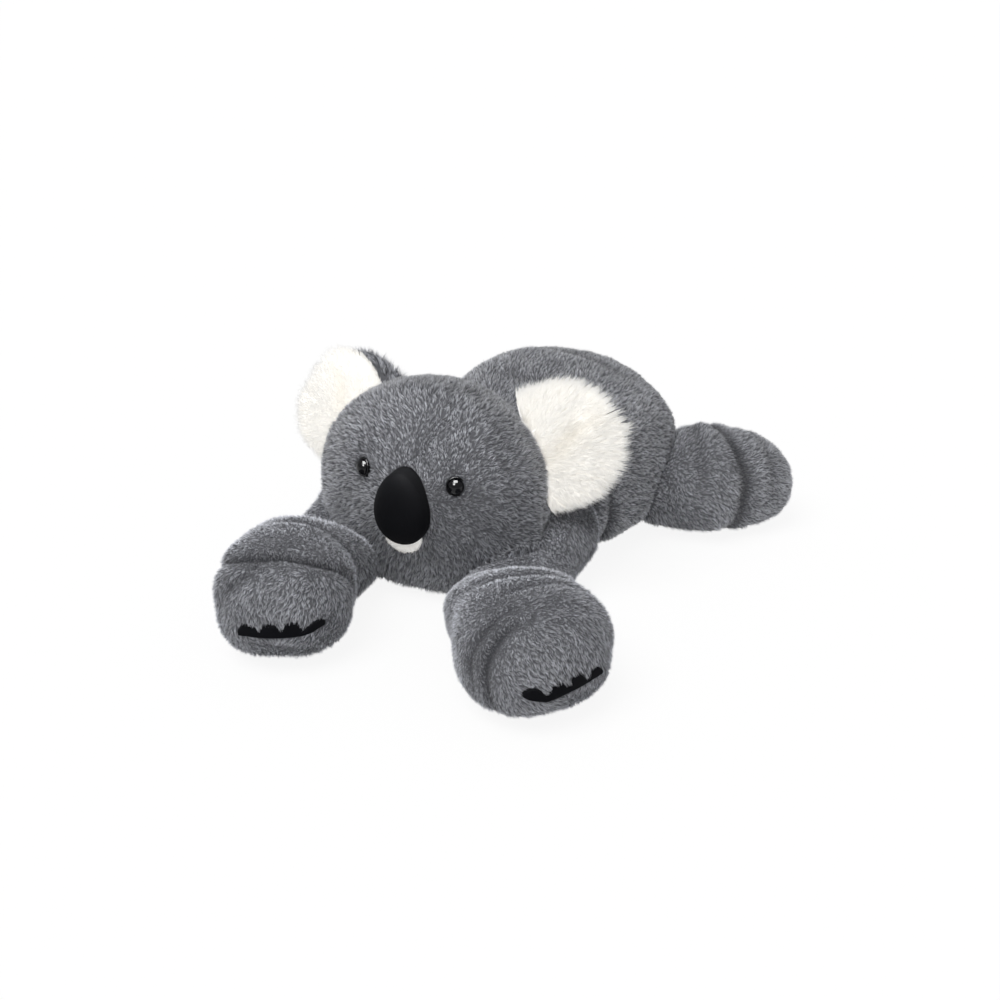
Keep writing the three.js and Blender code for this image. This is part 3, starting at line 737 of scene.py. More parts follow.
class Neighbour:
    """A closed mesh to keep clear of."""

    def __init__(self, piece):
        points = coordinates(piece)
        self.low, self.high = points.min(axis=0), points.max(axis=0)
        self.tree = BVHTree.FromPolygons([Vector(point) for point in points], triangles(piece).tolist())

    def near(self, points, reach):
        """The numbers of the points in the mesh's box widened by a reach."""
        return np.all((points > self.low - reach) & (points < self.high + reach), axis=1).nonzero()[0]

    def touched(self, points, gap):
        """Which points lie in the mesh or within a gap of it."""
        hit = np.zeros(len(points), bool)
        for index in self.near(points, gap):
            point = Vector(points[index])
            place, normal, _, _ = self.tree.find_nearest(point, SEARCH_REACH)
            if place is not None:
                away = point - place
                hit[index] = math.copysign(away.length, away.dot(normal)) < gap
        return hit

    def covered(self, points, normals):
        """Which points lie over the mesh, as seen along the skin's normals."""
        hit = np.zeros(len(points), bool)
        for index in self.near(points, COVER_REACH):
            normal = Vector(normals[index])
            start = Vector(points[index]) + normal * COVER_REACH
            hit[index] = self.tree.ray_cast(start, -normal, 2 * COVER_REACH)[0] is not None
        return hit


def dented(piece, other, gap):
    """Presses a form back to a gap from another form that lies against it."""
    points = coordinates(piece)
    for index in other.near(points, gap):
        point = Vector(points[index])
        place, normal, _, _ = other.tree.find_nearest(point, DENT_REACH)
        if place is not None and (point - place).dot(normal) < gap:
            points[index] = place + normal * gap
    put_back(piece, points)


def settled(piece, floor):
    """Flattens what a form would sink through the ground."""
    points = coordinates(piece)
    points[:, 2] = np.maximum(points[:, 2], floor)
    put_back(piece, points)


# Fur

STRAND_FLOOR = 0.6 * MM
SKIN_FLOOR = 3 * MM
ROOT_DEPTH = 0.5 * MM
PRESSED_SHARE = 0.4
GREY_SKIN = (0.4, 0.15)
WHITE_SKIN = (0.6, 0.8)
LENGTH_LIMITS = (0.4, 1.6)
WIDTH_LIMITS = (0.75, 1.25)
COVER_PLACES = (0.25, 0.6)
BROAD_SWIRL = 42 * MM
FINE_SWIRL = 13 * MM
FINE_SWIRL_SHARE = 0.6
OWN_SHARE = 0.4
LEAN_PATCH = 17 * MM
LEAN_PATCH_TURN = 7
LEAN_LIMITS = (5, 86)
TUFT_SHADES = 0.55


@dataclass
class Pile:
    """How a skin's strands stand: their sizes, their lean from upright, and the tufts that they gather in."""

    length: float
    width: float
    spacing: float
    lean: float = 55
    lean_spread: float = 10
    turn_spread: float = 34
    swirl: float = 24
    length_spread: float = 0.15
    tuft: float = 2.1 * MM
    gather: float = 0.38
    rise: float = 0.0
    straight: float = 0.0
    tone: float = 0.5
    parted: float = 0.45
    seed: int = 1


def scattered(piece, spacing, rng, keep, folds):
    """Even random places on a mesh, their smooth normals and their shares of fold and painted shade. The share to keep
    is given for each mesh point."""
    corners = triangles(piece)
    points = coordinates(piece)
    normals = vertex_normals(piece)
    a, b, c = (points[corners[:, corner]] for corner in range(3))
    area = np.linalg.norm(np.cross(b - a, c - a), axis=1) / 2 * keep[corners].mean(axis=1)
    total = area.cumsum()
    count = int(total[-1] / spacing ** 2)
    places = (np.arange(count) + rng.uniform(size=count)) / count * total[-1]
    chosen = np.minimum(np.searchsorted(total, places), len(total) - 1)
    first, second = rng.uniform(size=(2, count))
    swap = first + second > 1
    first[swap], second[swap] = 1 - first[swap], 1 - second[swap]
    weights = np.stack((1 - first - second, first, second), axis=1)
    where = np.einsum("ij,ijk->ik", weights, points[corners[chosen]])
    facing = unit(np.einsum("ij,ijk->ik", weights, normals[corners[chosen]]))
    deep = np.einsum("ij,ij->i", weights, folds[corners[chosen]])
    return where, facing, deep


def turned(vectors, axes, angles):
    """Vectors turned about axes that stand square to them."""
    return vectors * np.cos(angles)[:, None] + np.cross(axes, vectors) * np.sin(angles)[:, None]


def tufts(points, size, spacing, rng):
    """The number of each point's tuft, whose centres are some of the points."""
    count = max(int(len(points) * (spacing / size) ** 2), 1)
    centres = rng.choice(len(points), count, replace=False)
    nearest = KDTree(count)
    for number, centre in enumerate(centres):
        nearest.insert(points[centre], number)
    nearest.balance()
    return np.array([nearest.find(point)[1] for point in points]), count


def combed(points, normals, flow, pile, lengths, rng):
    """The tips and shades of strands that lie along a flow, in tufts that lean and turn together."""
    tuft, count = tufts(points, pile.tuft, pile.spacing, rng)

    def uneven():
        return rng.normal(size=count)[tuft] * (1 - OWN_SHARE) + rng.normal(size=len(points)) * OWN_SHARE

    tangent = unit(flow - normals * np.einsum("ij,ij->i", flow, normals)[:, None])
    swirl = ripples(points, BROAD_SWIRL, pile.seed + 5) + ripples(points, FINE_SWIRL, pile.seed + 6) * FINE_SWIRL_SHARE
    tangent = turned(tangent, normals, np.radians(pile.swirl * swirl + pile.turn_spread * uneven()))
    lean = pile.lean + pile.lean_spread * uneven() + ripples(points, LEAN_PATCH, pile.seed + 7) * LEAN_PATCH_TURN
    lean = np.radians(np.clip(lean, *LEAN_LIMITS))[:, None]
    direction = normals * np.cos(lean) + tangent * np.sin(lean)
    direction = unit(direction * (1 - pile.straight) + unit(flow) * pile.straight)
    tips = points + direction * lengths[:, None]
    size = np.bincount(tuft, minlength=count)
    middle = np.stack([np.bincount(tuft, tips[:, axis], count) for axis in range(3)], axis=1) / size[:, None]
    tips += (middle[tuft] - tips) * pile.gather
    shades = (rng.uniform(size=count)[tuft] - 0.5) * TUFT_SHADES + rng.uniform(size=len(points)) - 0.5
    return tips, np.clip(pile.tone + shades, 0, 1)


MIDDLE_WIDTH = 0.76
RIDGED = np.array(((0.5, -0.1), (0.0, 0.28), (-0.5, -0.1)))
STRAIGHT_STRAND = (((0, 2, 1), (0, 1, 3), (1, 2, 3), (2, 0, 3)), (0, 0, 0, 1))
BENT_STRAND = (
    ((0, 2, 1), (0, 1, 4), (0, 4, 3), (1, 2, 5), (1, 5, 4), (2, 0, 3), (2, 3, 5), (3, 4, 6), (4, 5, 6), (5, 3, 6)),
    (0, 0, 0, 0.5, 0.5, 0.5, 1),
)


def strand_mesh(roots, middles, tips, widths, shades, fades, normals):
    """Closed strands as points, faces and strand map: flat below and ridged above. Without middles they are straight.
    A strand faded by painted shade in a fold keeps more of its dark root colour."""
    count = len(roots)
    along = unit(tips - roots)
    side = unit(np.cross(normals, along) + 1e-9)
    raised = np.cross(along, side)
    ring = side[:, None] * RIDGED[None, :, :1] + raised[:, None] * RIDGED[None, :, 1:]
    rows = [roots[:, None] + ring * widths[:, None, None]]
    pattern, heights = STRAIGHT_STRAND
    if middles is not None:
        pattern, heights = BENT_STRAND
        rows.append(middles[:, None] + ring * (widths * MIDDLE_WIDTH)[:, None, None])
    points = np.concatenate((*rows, tips[:, None]), axis=1).reshape(-1, 3)
    faces = (np.arange(count) * len(heights))[:, None, None] + np.array(pattern)[None]
    maps = np.stack((np.repeat(shades, len(heights)), np.outer(fades, heights).ravel()), axis=1)
    return points, faces.reshape(-1, 3), maps


def mesh_object(name, points, faces, maps):
    """A mesh of triangles with its strand map."""
    mesh = bpy.data.meshes.new(name)
    mesh.vertices.add(len(points))
    mesh.vertices.foreach_set("co", points.ravel())
    mesh.loops.add(faces.size)
    mesh.loops.foreach_set("vertex_index", faces.ravel())
    mesh.polygons.add(len(faces))
    mesh.polygons.foreach_set("loop_start", np.arange(len(faces)) * 3)
    mesh.polygons.foreach_set("loop_total", np.full(len(faces), 3))
    layer = mesh.uv_layers.new(name=STRAND_MAP)
    layer.data.foreach_set("uv", maps[faces.ravel()].ravel())
    mesh.update(calc_edges=True)
    piece = bpy.data.objects.new(name, mesh)
    bpy.context.scene.collection.objects.link(piece)
    return piece


def shortened(points, tips, hit):
    """Presses some strands down to a share of their length."""
    tips[hit] = points[hit] + (tips[hit] - points[hit]) * PRESSED_SHARE


def clear_strands(points, normals, tips, clear_of, pressed_by, uncovered):
    """Which strands stay. Those that reach into a neighbour are pressed down. Those with their roots in one to be
    clear of, or that still reach into it, are left out, and so are those that lie over a piece to be seen."""
    stay = np.ones(len(points), bool)
    for neighbour in pressed_by:
        shortened(points, tips, neighbour.touched(tips, 0.0))
    for neighbour, gap in clear_of:
        left = stay.nonzero()[0]
        stay[left] = ~neighbour.touched(points[left], gap)
        left = stay.nonzero()[0]
        hit = left[neighbour.touched(tips[left], gap)]
        shortened(points, tips, hit)
        stay[hit] = ~neighbour.touched(tips[hit], gap)
    for neighbour in uncovered:
        for share in COVER_PLACES:
            left = stay.nonzero()[0]
            place = points[left] + (tips[left] - points[left]) * share
            stay[left] = ~neighbour.covered(place, normals[left])
    return stay


def furred(skin, flow_at, pile, material, keep, clear_of=(), uncovered=(), pressed_by=(), length_at=None,
           shade=GREY_SKIN):
    """Plants strands on a skin and joins them to it. The skin between them has one shade of the strand map, darkened
    by painted shade in folds.
    """
    rng = np.random.default_rng(pile.seed)
    folds = taken_fold_shade(skin)
    points, normals, deep = scattered(skin, pile.spacing, rng, keep, folds)
    lengths = pile.length * np.clip(1 + pile.length_spread * rng.normal(size=len(points)), *LENGTH_LIMITS)
    lengths *= 1 - pile.parted * deep
    if length_at is not None:
        lengths *= length_at(points)
    tips, shades = combed(points, normals, flow_at(points), pile, lengths, rng)
    tips[:, 2] = np.maximum(tips[:, 2], STRAND_FLOOR)
    stay = clear_strands(points, normals, tips, clear_of, pressed_by, uncovered)
    points, normals, tips, lengths = points[stay], normals[stay], tips[stay], lengths[stay]
    roots = points - normals * ROOT_DEPTH
    roots[:, 2] = np.maximum(roots[:, 2], STRAND_FLOOR)
    middles = (roots + tips) / 2 + normals * (lengths * pile.rise)[:, None] if pile.rise else None
    widths = pile.width * rng.uniform(*WIDTH_LIMITS, size=len(points))
    # painted shade: strands in folds fade towards their dark root colour
    strands = strand_mesh(roots, middles, tips, widths, shades[stay], 1 - FOLD_SHADE * deep[stay], normals)
    fur = mesh_object(f"{skin.name}_strands", *strands)
    select_only(skin)
    bpy.ops.object.shade_smooth()
    layer = skin.data.uv_layers.new(name=STRAND_MAP)
    corners = np.zeros(len(skin.data.loops), int)
    skin.data.loops.foreach_get("vertex_index", corners)
    # painted shade: the skin in folds takes more of the root colour
    heights = shade[1] * (1 - FOLD_SHADE * folds[corners])
    layer.data.foreach_set("uv", np.stack((np.full(len(corners), shade[0]), heights), axis=1).ravel())
    for part in (skin, fur):
        part.data.materials.clear()
        part.data.materials.append(material)
    fur.select_set(True)
    bpy.ops.object.join()


def finished(piece, body, nodes):
    """Puts a piece on its body and in the place of its frame nodes."""
    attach(piece, body)
    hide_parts(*nodes)


def base_form(name, form, grow, sides=96, lumps=0.0, seed=0):
    """A form's skin under its pile."""
    rings, shares, angles = form.surface(grow, sides)
    piece, along, around = shaped_ball(name, rings, shares, angles)
    creased(piece, form, along, around, lumps, seed)
    return piece


MEASURED = {}


def measure(form):
    """A form's skin as a neighbour. The form itself isn't kept."""
    key = id(form)
    if key not in MEASURED:
        piece = base_form("measure", form, -sizes().base_depth, sides=64)
        MEASURED[key] = Neighbour(piece)
        bpy.data.objects.remove(piece)
    return MEASURED[key]


def node_neighbour(node):
    """A frame node as a neighbour."""
    return Neighbour(frame["nodes"][node])


BODY_SAG = 0.35
LEG_SAG = 0.4
FACE_SAG = 0.15
FLOW_STEPS = 60


def spine_flow(spine, sag=BODY_SAG):
    """Strands that lie along a spine and down a little."""
    steps = np.linspace(0, spine.length, FLOW_STEPS)
    line = spine.point(steps)
    headings = spine.ahead(steps)

    def flow(points):
        nearest = np.argmin(np.linalg.norm(points[:, None, :2] - line[None, :, :2], axis=2), axis=1)
        return headings[nearest] - UP * sag

    return flow


def face_flow(points):
    """Strands that lie away from the nose, and down a little."""
    nose = at_centre(0, -FACE_DEPTH - NOSE_STAND, 0)
    return unit(points - nose) - UP * FACE_SAG


# Sizes and colours

class KoalaSizes(bpy.types.PropertyGroup):
    """Sizes of the fur"""

    base_depth: FloatProperty(name="Base depth", description="Depth of the skin's backing under the frame's surface",
                              default=2.9 * MM, unit="LENGTH")
    pile_length: FloatProperty(name="Pile length", description="Length of the grey strands",
                               default=4.0 * MM, unit="LENGTH")
    pile_width: FloatProperty(name="Pile width", description="Width of a grey strand at its root",
                              default=0.48 * MM, unit="LENGTH")
    pile_spacing: FloatProperty(name="Pile spacing", description="Distance between grey strands",
                                default=0.84 * MM, unit="LENGTH")
    ear_length: FloatProperty(name="Ear pile length", description="Length of the white strands in the ears",
                              default=11.0 * MM, unit="LENGTH")
    ear_spacing: FloatProperty(name="Ear pile spacing", description="Distance between the ears' white strands",
                               default=0.6 * MM, unit="LENGTH")


class KoalaColours(bpy.types.PropertyGroup):
    """Colours of the fabrics"""

    grey_root: FloatVectorProperty(name="Grey root", description="Colour of the grey strands at the root",
                                   subtype="COLOR", size=3, default=(0.05, 0.051, 0.058), min=0, max=1)
    grey_tip: FloatVectorProperty(name="Grey tip", description="Colour of the grey strands at the tip",
                                  subtype="COLOR", size=3, default=(0.8, 0.815, 0.875), min=0, max=1)
    white_root: FloatVectorProperty(name="White root", description="Colour of the white strands at the root",
                                    subtype="COLOR", size=3, default=(0.9, 0.865, 0.8), min=0, max=1)
    white_tip: FloatVectorProperty(name="White tip", description="Colour of the white strands at the tip",
                                   subtype="COLOR", size=3, default=(0.99, 0.985, 0.97), min=0, max=1)
    black: FloatVectorProperty(name="Black", description="Colour of the nose and the claws",
                               subtype="COLOR", size=3, default=(0.002, 0.0022, 0.0035), min=0, max=1)


def sizes():
    return bpy.context.scene.koala_sizes


def colours():
    return bpy.context.scene.koala_colours


def grey_pile():
    """The charcoal heather pile."""
    name = "Grey pile"
    return bpy.data.materials.get(name) or pile_material(
        name, colours().grey_root, colours().grey_tip, GREY_HEATHER, GREY_PATCHES)


def white_pile():
    """The ivory pile of the ears and the chin."""
    name = "White pile"
    return bpy.data.materials.get(name) or pile_material(
        name, colours().white_root, colours().white_tip, WHITE_HEATHER, WHITE_PATCHES, WHITE_GLOW)


GREY_LEAN = 57
HEAD_GAP = 2 * MM
TORSO_HEAD_GAP = 1 * MM
SWING_DEPTH = 6 * MM
UNDERSIDE_TOP = 12 * MM
UNDERSIDE_FACING = -0.6
UNDERSIDE_KEEP = 0.3


@dataclass
class GreyPart:
    """A grey part's uneven swell, the points round its rings, the seeds of its swell and its pile, the pile's tone,
    and its share of the full length. The tones paint light and shade: one grey cloth is lighter on the arms and legs
    and darker on the head."""

    lumps: float
    seed: int
    pile_seed: int
    tone: float
    share: float = 1.0
    sides: int = 96


# The tones paint light and shade on one grey cloth: lighter on the arms and legs, darker on the head.
GREY_PARTS = {
    "torso": GreyPart(1.3 * MM, seed=11, pile_seed=21, tone=0.54, share=0.88, sides=112),
    "head": GreyPart(0.9 * MM, seed=31, pile_seed=41, tone=0.48, sides=112),
    "arm_left": GreyPart(0.9 * MM, seed=51, pile_seed=61, tone=0.68),
    "arm_right": GreyPart(0.9 * MM, seed=52, pile_seed=62, tone=0.68),
    "leg_left": GreyPart(0.8 * MM, seed=71, pile_seed=81, tone=0.64, share=0.88),
    "leg_right": GreyPart(0.8 * MM, seed=72, pile_seed=82, tone=0.64, share=0.88),
}


def grey_fur(seed, tone=0.5, share=1.0):
    """The grey pile's stand."""
    return Pile(length=sizes().pile_length * share, width=sizes().pile_width, spacing=sizes().pile_spacing,
                lean=GREY_LEAN, tone=tone, seed=seed)


def underneath_keep(piece):
    """Fewer strands where a skin lies on the ground."""
    low = coordinates(piece)[:, 2] < UNDERSIDE_TOP
    return np.where(low & (vertex_normals(piece)[:, 2] < UNDERSIDE_FACING), UNDERSIDE_KEEP, 1.0)


def grey_part(name, form, node, flow, *shapes, **neighbours):
    """Makes a grey skin, shapes it, lays it on the ground, plants its pile and puts it in the place of its node."""
    part = GREY_PARTS[name]
    skin = base_form(f"{name}_plush", form, -sizes().base_depth, part.sides, part.lumps, part.seed)
    for shape in shapes:
        shape(skin)
    settled(skin, SKIN_FLOOR)
    fur = grey_fur(part.pile_seed, part.tone, part.share)
    furred(skin, flow, fur, grey_pile(), underneath_keep(skin), **neighbours)
    finished(skin, name, [node])


def pressed_back(skin):
    """Presses a skin that lies under the head back from it."""
    dented(skin, measure(HEAD), HEAD_GAP)


def hollowed(skin):
    """Presses a shallow hollow round each eye, where the pile parts, and paints shade into it that darkens the pile
    round the eyes.
    """
    points = coordinates(skin)
    near = np.zeros(len(points))
    for place, _ in eye_places().values():
        near += np.exp(-(np.linalg.norm(points - place, axis=1) / EYE_HOLLOW_REACH) ** 2)
    put_back(skin, points - vertex_normals(skin) * (near * EYE_HOLLOW)[:, None])
    # painted shade round the eyes
    set_fold_shade(skin, near * EYE_HOLLOW_SHADE)


# Operators

class KOALA_OT_torso(bpy.types.Operator):
    """Makes the body's skin"""

    bl_idname = "koala.torso"
    bl_label = "Torso"

    def execute(self, context):
        near = [(measure(HEAD), TORSO_HEAD_GAP)]
        near += [(measure(limbs[side]), 0.0) for limbs in (ARMS, LEGS) for side in SIDES]
        grey_part("torso", TORSO, "torso_skin", spine_flow(TORSO.spine), pressed_back, clear_of=near)
        return {"FINISHED"}


class KOALA_OT_head(bpy.types.Operator):
    """Makes the head's skin"""

    bl_idname = "koala.head"
    bl_label = "Head"

    def execute(self, context):
        trim = [node_neighbour(node) for node in ("nose_pad", "chin_patch", "eye_left", "eye_right")]
        grey_part("head", HEAD, "head_skin", face_flow, hollowed, clear_of=[(measure(TORSO), 0.0)],
                  uncovered=trim, pressed_by=[measure(ARMS[side]) for side in SIDES])
        return {"FINISHED"}


class KOALA_OT_arms(bpy.types.Operator):
    """Makes the arms' skins"""

    bl_idname = "koala.arms"
    bl_label = "Arms"

    def execute(self, context):
        for side, form in ARMS.items():
            grey_part(f"arm_{side}", form, f"arm_skin_{side}", spine_flow(form.spine), pressed_back,
                      clear_of=[(measure(TORSO), -SWING_DEPTH)], uncovered=[node_neighbour(f"claw_strip_{side}")],
                      pressed_by=[measure(HEAD), measure(TORSO)])
        return {"FINISHED"}


class KOALA_OT_legs(bpy.types.Operator):
    """Makes the legs' skins"""

    bl_idname = "koala.legs"
    bl_label = "Legs"

    def execute(self, context):
        for side, form in LEGS.items():
            grey_part(f"leg_{side}", form, f"leg_skin_{side}", spine_flow(form.spine, LEG_SAG),
                      clear_of=[(measure(TORSO), 0.0)])
        return {"FINISHED"}


class KOALA_OT_ears(bpy.types.Operator):
    """Makes the ears' white fronts and grey backs"""

    bl_idname = "koala.ears"
    bl_label = "Ears"

    def execute(self, context):
        for number, (side, way) in enumerate(SIDES.items()):
            for layer in EAR_LAYERS[side]:
                self.layer(side, way, layer, number)
        return {"FINISHED"}

    def layer(self, side, way, layer, number):
        """Makes one layer of one ear."""
        piece, out, around = shaped_ball(f"ear_{layer.name}_{side}_plush", *ear_surface(way, layer))
        middle, along, reach, _ = ear_frame(way)
        root = middle - reach * EAR_ROOT_BEHIND
        outer = np.clip(np.sin(around) * 3 + 0.6, 0, 1)

        def flow(points):
            return unit(points - root) - UP * EAR_SAG

        def outwards(points):
            return np.clip((points - middle) @ reach / EAR_REACH, 0, 1)

        def at_the_corner(points):
            high = np.clip(((points - middle) @ along / (EAR_ROOT / 2) - 0.3) / 0.4, 0, 1)
            return 1 + layer.lengthened * high * (1 - outwards(points))

        def towards_rim(points):
            return EAR_SHORTER[side] * (0.75 + 0.75 * outwards(points) ** 2) * at_the_corner(points)

        near = [(measure(HEAD), 0.0)]
        if layer.facing > 0:
            pile = Pile(length=sizes().ear_length, width=0.36 * MM, spacing=sizes().ear_spacing, lean=74,
                        lean_spread=6, turn_spread=9, swirl=12, tuft=3 * MM, gather=0.2, rise=0.03, straight=0.5,
                        parted=0.1, seed=91 + number)
            # painted shade: the white strands in the ear's fold fall back towards their warmer root colour
            set_fold_shade(piece, ear_fold(np.cos(around), out) * (np.sin(around) > 0))
            furred(piece, flow, pile, white_pile(), outer, near, length_at=towards_rim, shade=WHITE_SKIN)
        else:
            outer = np.maximum(outer, np.cos(around) > 0.75 + 0.25 * out + layer.covered)
            furred(piece, flow, grey_fur(95 + number), grey_pile(), outer, near, length_at=at_the_corner)
        finished(piece, f"ear_{side}", [f"ear_{layer.name}_{side}"])


@dataclass
class EarLayer:
    """One layer of an ear: its facing, 1 for the front, and its thickness. At the high corner of its root it is
    widened and its strands are lengthened by shares, and covered is 1 where the other layer hides its flat side."""

    name: str
    facing: int
    thickness: float
    widened: float
    lengthened: float
    covered: int = 0


EAR_LAYERS = {
    "left": (
        EarLayer("front", 1, EAR_FRONT_THICKNESS, widened=0.12, lengthened=0.5),
        EarLayer("back", -1, EAR_BACK_THICKNESS, widened=0.1, lengthened=0.2, covered=1),
    ),
    "right": (
        EarLayer("front", 1, EAR_FRONT_THICKNESS, widened=-0.34, lengthened=-0.6),
        EarLayer("back", -1, EAR_BACK_THICKNESS, widened=0.16, lengthened=0.6),
    ),
}


def ear_fold(across, out):
    """The depth share of the soft fold that crosses an ear's front, which also sets the fold's painted shade."""
    slanting = (across - EAR_FOLD_PLACE - (out - 0.5) * EAR_FOLD_SLANT) / EAR_FOLD_WIDTH
    return np.exp(-slanting ** 2) * np.sin(np.pi * np.minimum(out * 1.15, 1))


def ear_frame(way):
    """The middle of an ear's root, and its directions along the root, outwards and to the front."""
    low = at_centre(way * EAR_ROOT_LOW[0], *EAR_ROOT_LOW[1:])
    high = at_centre(way * EAR_ROOT_HIGH[0], *EAR_ROOT_HIGH[1:])
    along = unit(high - low)
    level = np.array((way, 0.0, 0.0))
    straight = unit(level - along * (level @ along))
    angle = way * math.radians(EAR_TURN)
    reach = straight * math.cos(angle) + np.cross(along, straight) * math.sin(angle)
    return low + along * EAR_ROOT / 2, along, reach, np.cross(reach, along) * way


def ear_surface(way, layer):
    """One layer of an ear: a cupped fan, flat towards the other layer and round on its own side."""
    middle, along, reach, front = ear_frame(way)
    facing = layer.facing
    angles = round_angles(EAR_SIDES)
    rings = []
    shares = []
    for row in range(EAR_ROWS + 1):
        v = math.sin(row / EAR_ROWS * math.pi / 2)
        half = EAR_ROOT / 2 * float(smooth(EAR_WIDTH_SHARES, v)) - EAR_INSET * min(v * 4, 1)
        half = max(half, 0) if row < EAR_ROWS else 0
        thickened = float(smooth(EAR_THICKNESS_SHARES, v))
        swell = EAR_ROOT_THICKNESS + (layer.thickness - EAR_ROOT_THICKNESS) * thickened
        swell = max(swell - EAR_INSET * v, EAR_RIM)
        u = np.cos(angles)
        curl = u ** 2 * (half / (EAR_ROOT / 2)) * v ** 2 * (3 - 2 * v) * np.where(u > 0, *EAR_CURLS)
        cup = EAR_CUP * (v ** 2 * 0.4 + curl)
        round_side = np.maximum(np.sin(angles), 0)
        if facing > 0:
            swell = swell - EAR_FOLD * ear_fold(u, v)
        lift = facing * (EAR_LAYER_GAP + (EAR_RIM / 2 + (swell - EAR_RIM / 2) * round_side) * (np.sin(angles) >= 0))
        if row in (0, EAR_ROWS):
            lift = np.full(EAR_SIDES, facing * np.mean(swell) / 2)
        if row == 0:
            u = u * 0
        wide = half * np.where(u > 0, 1 + layer.widened * (1 - v) ** 1.6, 1)
        outwards = reach * ((EAR_REACH - EAR_INSET) * v)
        rings.append(middle + along * (u * wide)[:, None] + outwards + front * (cup + lift)[:, None])
        shares.append(v)
    return np.array(rings), np.array(shares), angles


def pad_surface(width, height, stand, drop, back, taper):
    """An egg-shaped pad on the front of the head."""
    angles = round_angles(PAD_SIDES)
    front = -FACE_DEPTH + back
    rings = []
    dome_rows = PAD_ROWS * 2 // 3
    for row in range(PAD_ROWS + 1):
        if row <= dome_rows:
            angle = row / dome_rows * math.pi / 2
            y = front - stand * math.cos(angle)
            fade = math.sin(angle) ** 0.8
        else:
            share = (row - dome_rows) / (PAD_ROWS - dome_rows)
            y = front + PAD_DEPTH * min(share * 1.25, 1)
            fade = 1 if share < 0.8 else (1 - share) * 5
        x = width / 2 * np.cos(angles) * (1 - taper * np.sin(angles)) * fade
        z = -drop + height / 2 * np.sin(angles) * fade
        rings.append(CENTRE + np.stack((x, np.full(PAD_SIDES, y), z), axis=1))
    return np.array(rings), np.linspace(0, 1, PAD_ROWS + 1), angles


class KOALA_OT_nose(bpy.types.Operator):
    """Makes the padded nose and the white patch under it"""

    bl_idname = "koala.nose"
    bl_label = "Nose and chin"

    def execute(self, context):
        surface = pad_surface(NOSE_WIDTH, NOSE_HEIGHT, NOSE_STAND, 0, 0, NOSE_TAPER_SHARE)
        nose = smooth_piece("nose_padded", surface, felt_material("Nose cloth", colours().black, 0.75, 0.35))
        finished(nose, "head", ["nose_pad"])
        drop = NOSE_HEIGHT / 2 + CHIN_SHOW - CHIN_HEIGHT / 2
        surface = pad_surface(CHIN_WIDTH, CHIN_HEIGHT, CHIN_STAND - CHIN_PILE_DEPTH, drop, CHIN_BACK, 0)
        chin = shaped_ball("chin_white", *surface)[0]
        pile = Pile(length=2.2 * MM, width=0.4 * MM, spacing=0.55 * MM, lean=66, tuft=2 * MM, seed=111)
        back = CENTRE[1] - FACE_DEPTH + CHIN_BACK + CHIN_PILE_DEPTH
        keep = np.clip((back - coordinates(chin)[:, 1]) / MM, 0, 1)
        furred(chin, face_flow, pile, white_pile(), keep, [(Neighbour(nose), CHIN_NOSE_GAP)], shade=WHITE_SKIN)
        finished(chin, "head", ["chin_patch"])
        return {"FINISHED"}


def eye_places():
    """For each side, the point on the head's surface where the eye sits, and its facing."""
    surface = base_form("surface", HEAD, 0.0, sides=64)
    tree = Neighbour(surface).tree
    bpy.data.objects.remove(surface)
    turn, tilt = math.radians(EYE_TURN), math.radians(EYE_TILT)
    places = {}
    for side, way in SIDES.items():
        facing = np.array((way * math.sin(turn) * math.cos(tilt), -math.cos(turn) * math.cos(tilt), math.sin(tilt)))
        start = at_centre(way * EYE_SPACING / 2, -HEAD_WIDTH, EYE_RISE)
        place = tree.ray_cast(Vector(start), Vector((0, 1, 0)))[0]
        places[side] = np.array(place), facing
    return places


def eye_profile():
    """Radius and rise of an eye's rings: a low dome in a thin rounded rim, with a shank that the skin hides."""
    top, foot = EYE_DOME - EYE_SINK, -EYE_SINK
    seat = EYE_RADIUS - 2 * EYE_BEAD
    floor = foot + 2.4 * EYE_BEAD
    profile = []
    for step in range(EYE_DOME_STEPS + 1):
        angle = step / EYE_DOME_STEPS * math.pi / 2
        profile.append((seat * math.sin(angle), floor + (top - floor) * math.cos(angle)))
    for step in range(1, EYE_BEAD_STEPS + 1):
        angle = math.pi - step / EYE_BEAD_STEPS * math.pi * 1.5
        profile.append((EYE_RADIUS - EYE_BEAD + EYE_BEAD * math.cos(angle), floor + EYE_BEAD * math.sin(angle)))
    profile += [(EYE_RADIUS - EYE_BEAD, foot), (seat / 2, foot), (0.0, foot)]
    return profile


class KOALA_OT_eyes(bpy.types.Operator):
    """Makes the glossy eyes"""

    bl_idname = "koala.eyes"
    bl_label = "Eyes"

    def execute(self, context):
        shader = Shader("Eye gloss")
        shader.set(Base_Color=EYE_BLACK, Roughness=0.04, Specular_IOR_Level=0.3)
        angles = round_angles(EYE_SIDES)
        for side, (place, facing) in eye_places().items():
            turn = np.array(Vector(facing).to_track_quat("Z", "Y").to_matrix())
            rings = []
            for radius, rise in eye_profile():
                ring = np.stack((radius * np.cos(angles), radius * np.sin(angles), np.full(EYE_SIDES, rise)), axis=1)
                rings.append(ring @ turn.T + place)
            surface = (np.array(rings), np.linspace(0, 1, len(rings)), angles)
            eye = smooth_piece(f"eye_{side}_dome", surface, shader.material)
            finished(eye, "head", [f"eye_{side}"])
        return {"FINISHED"}


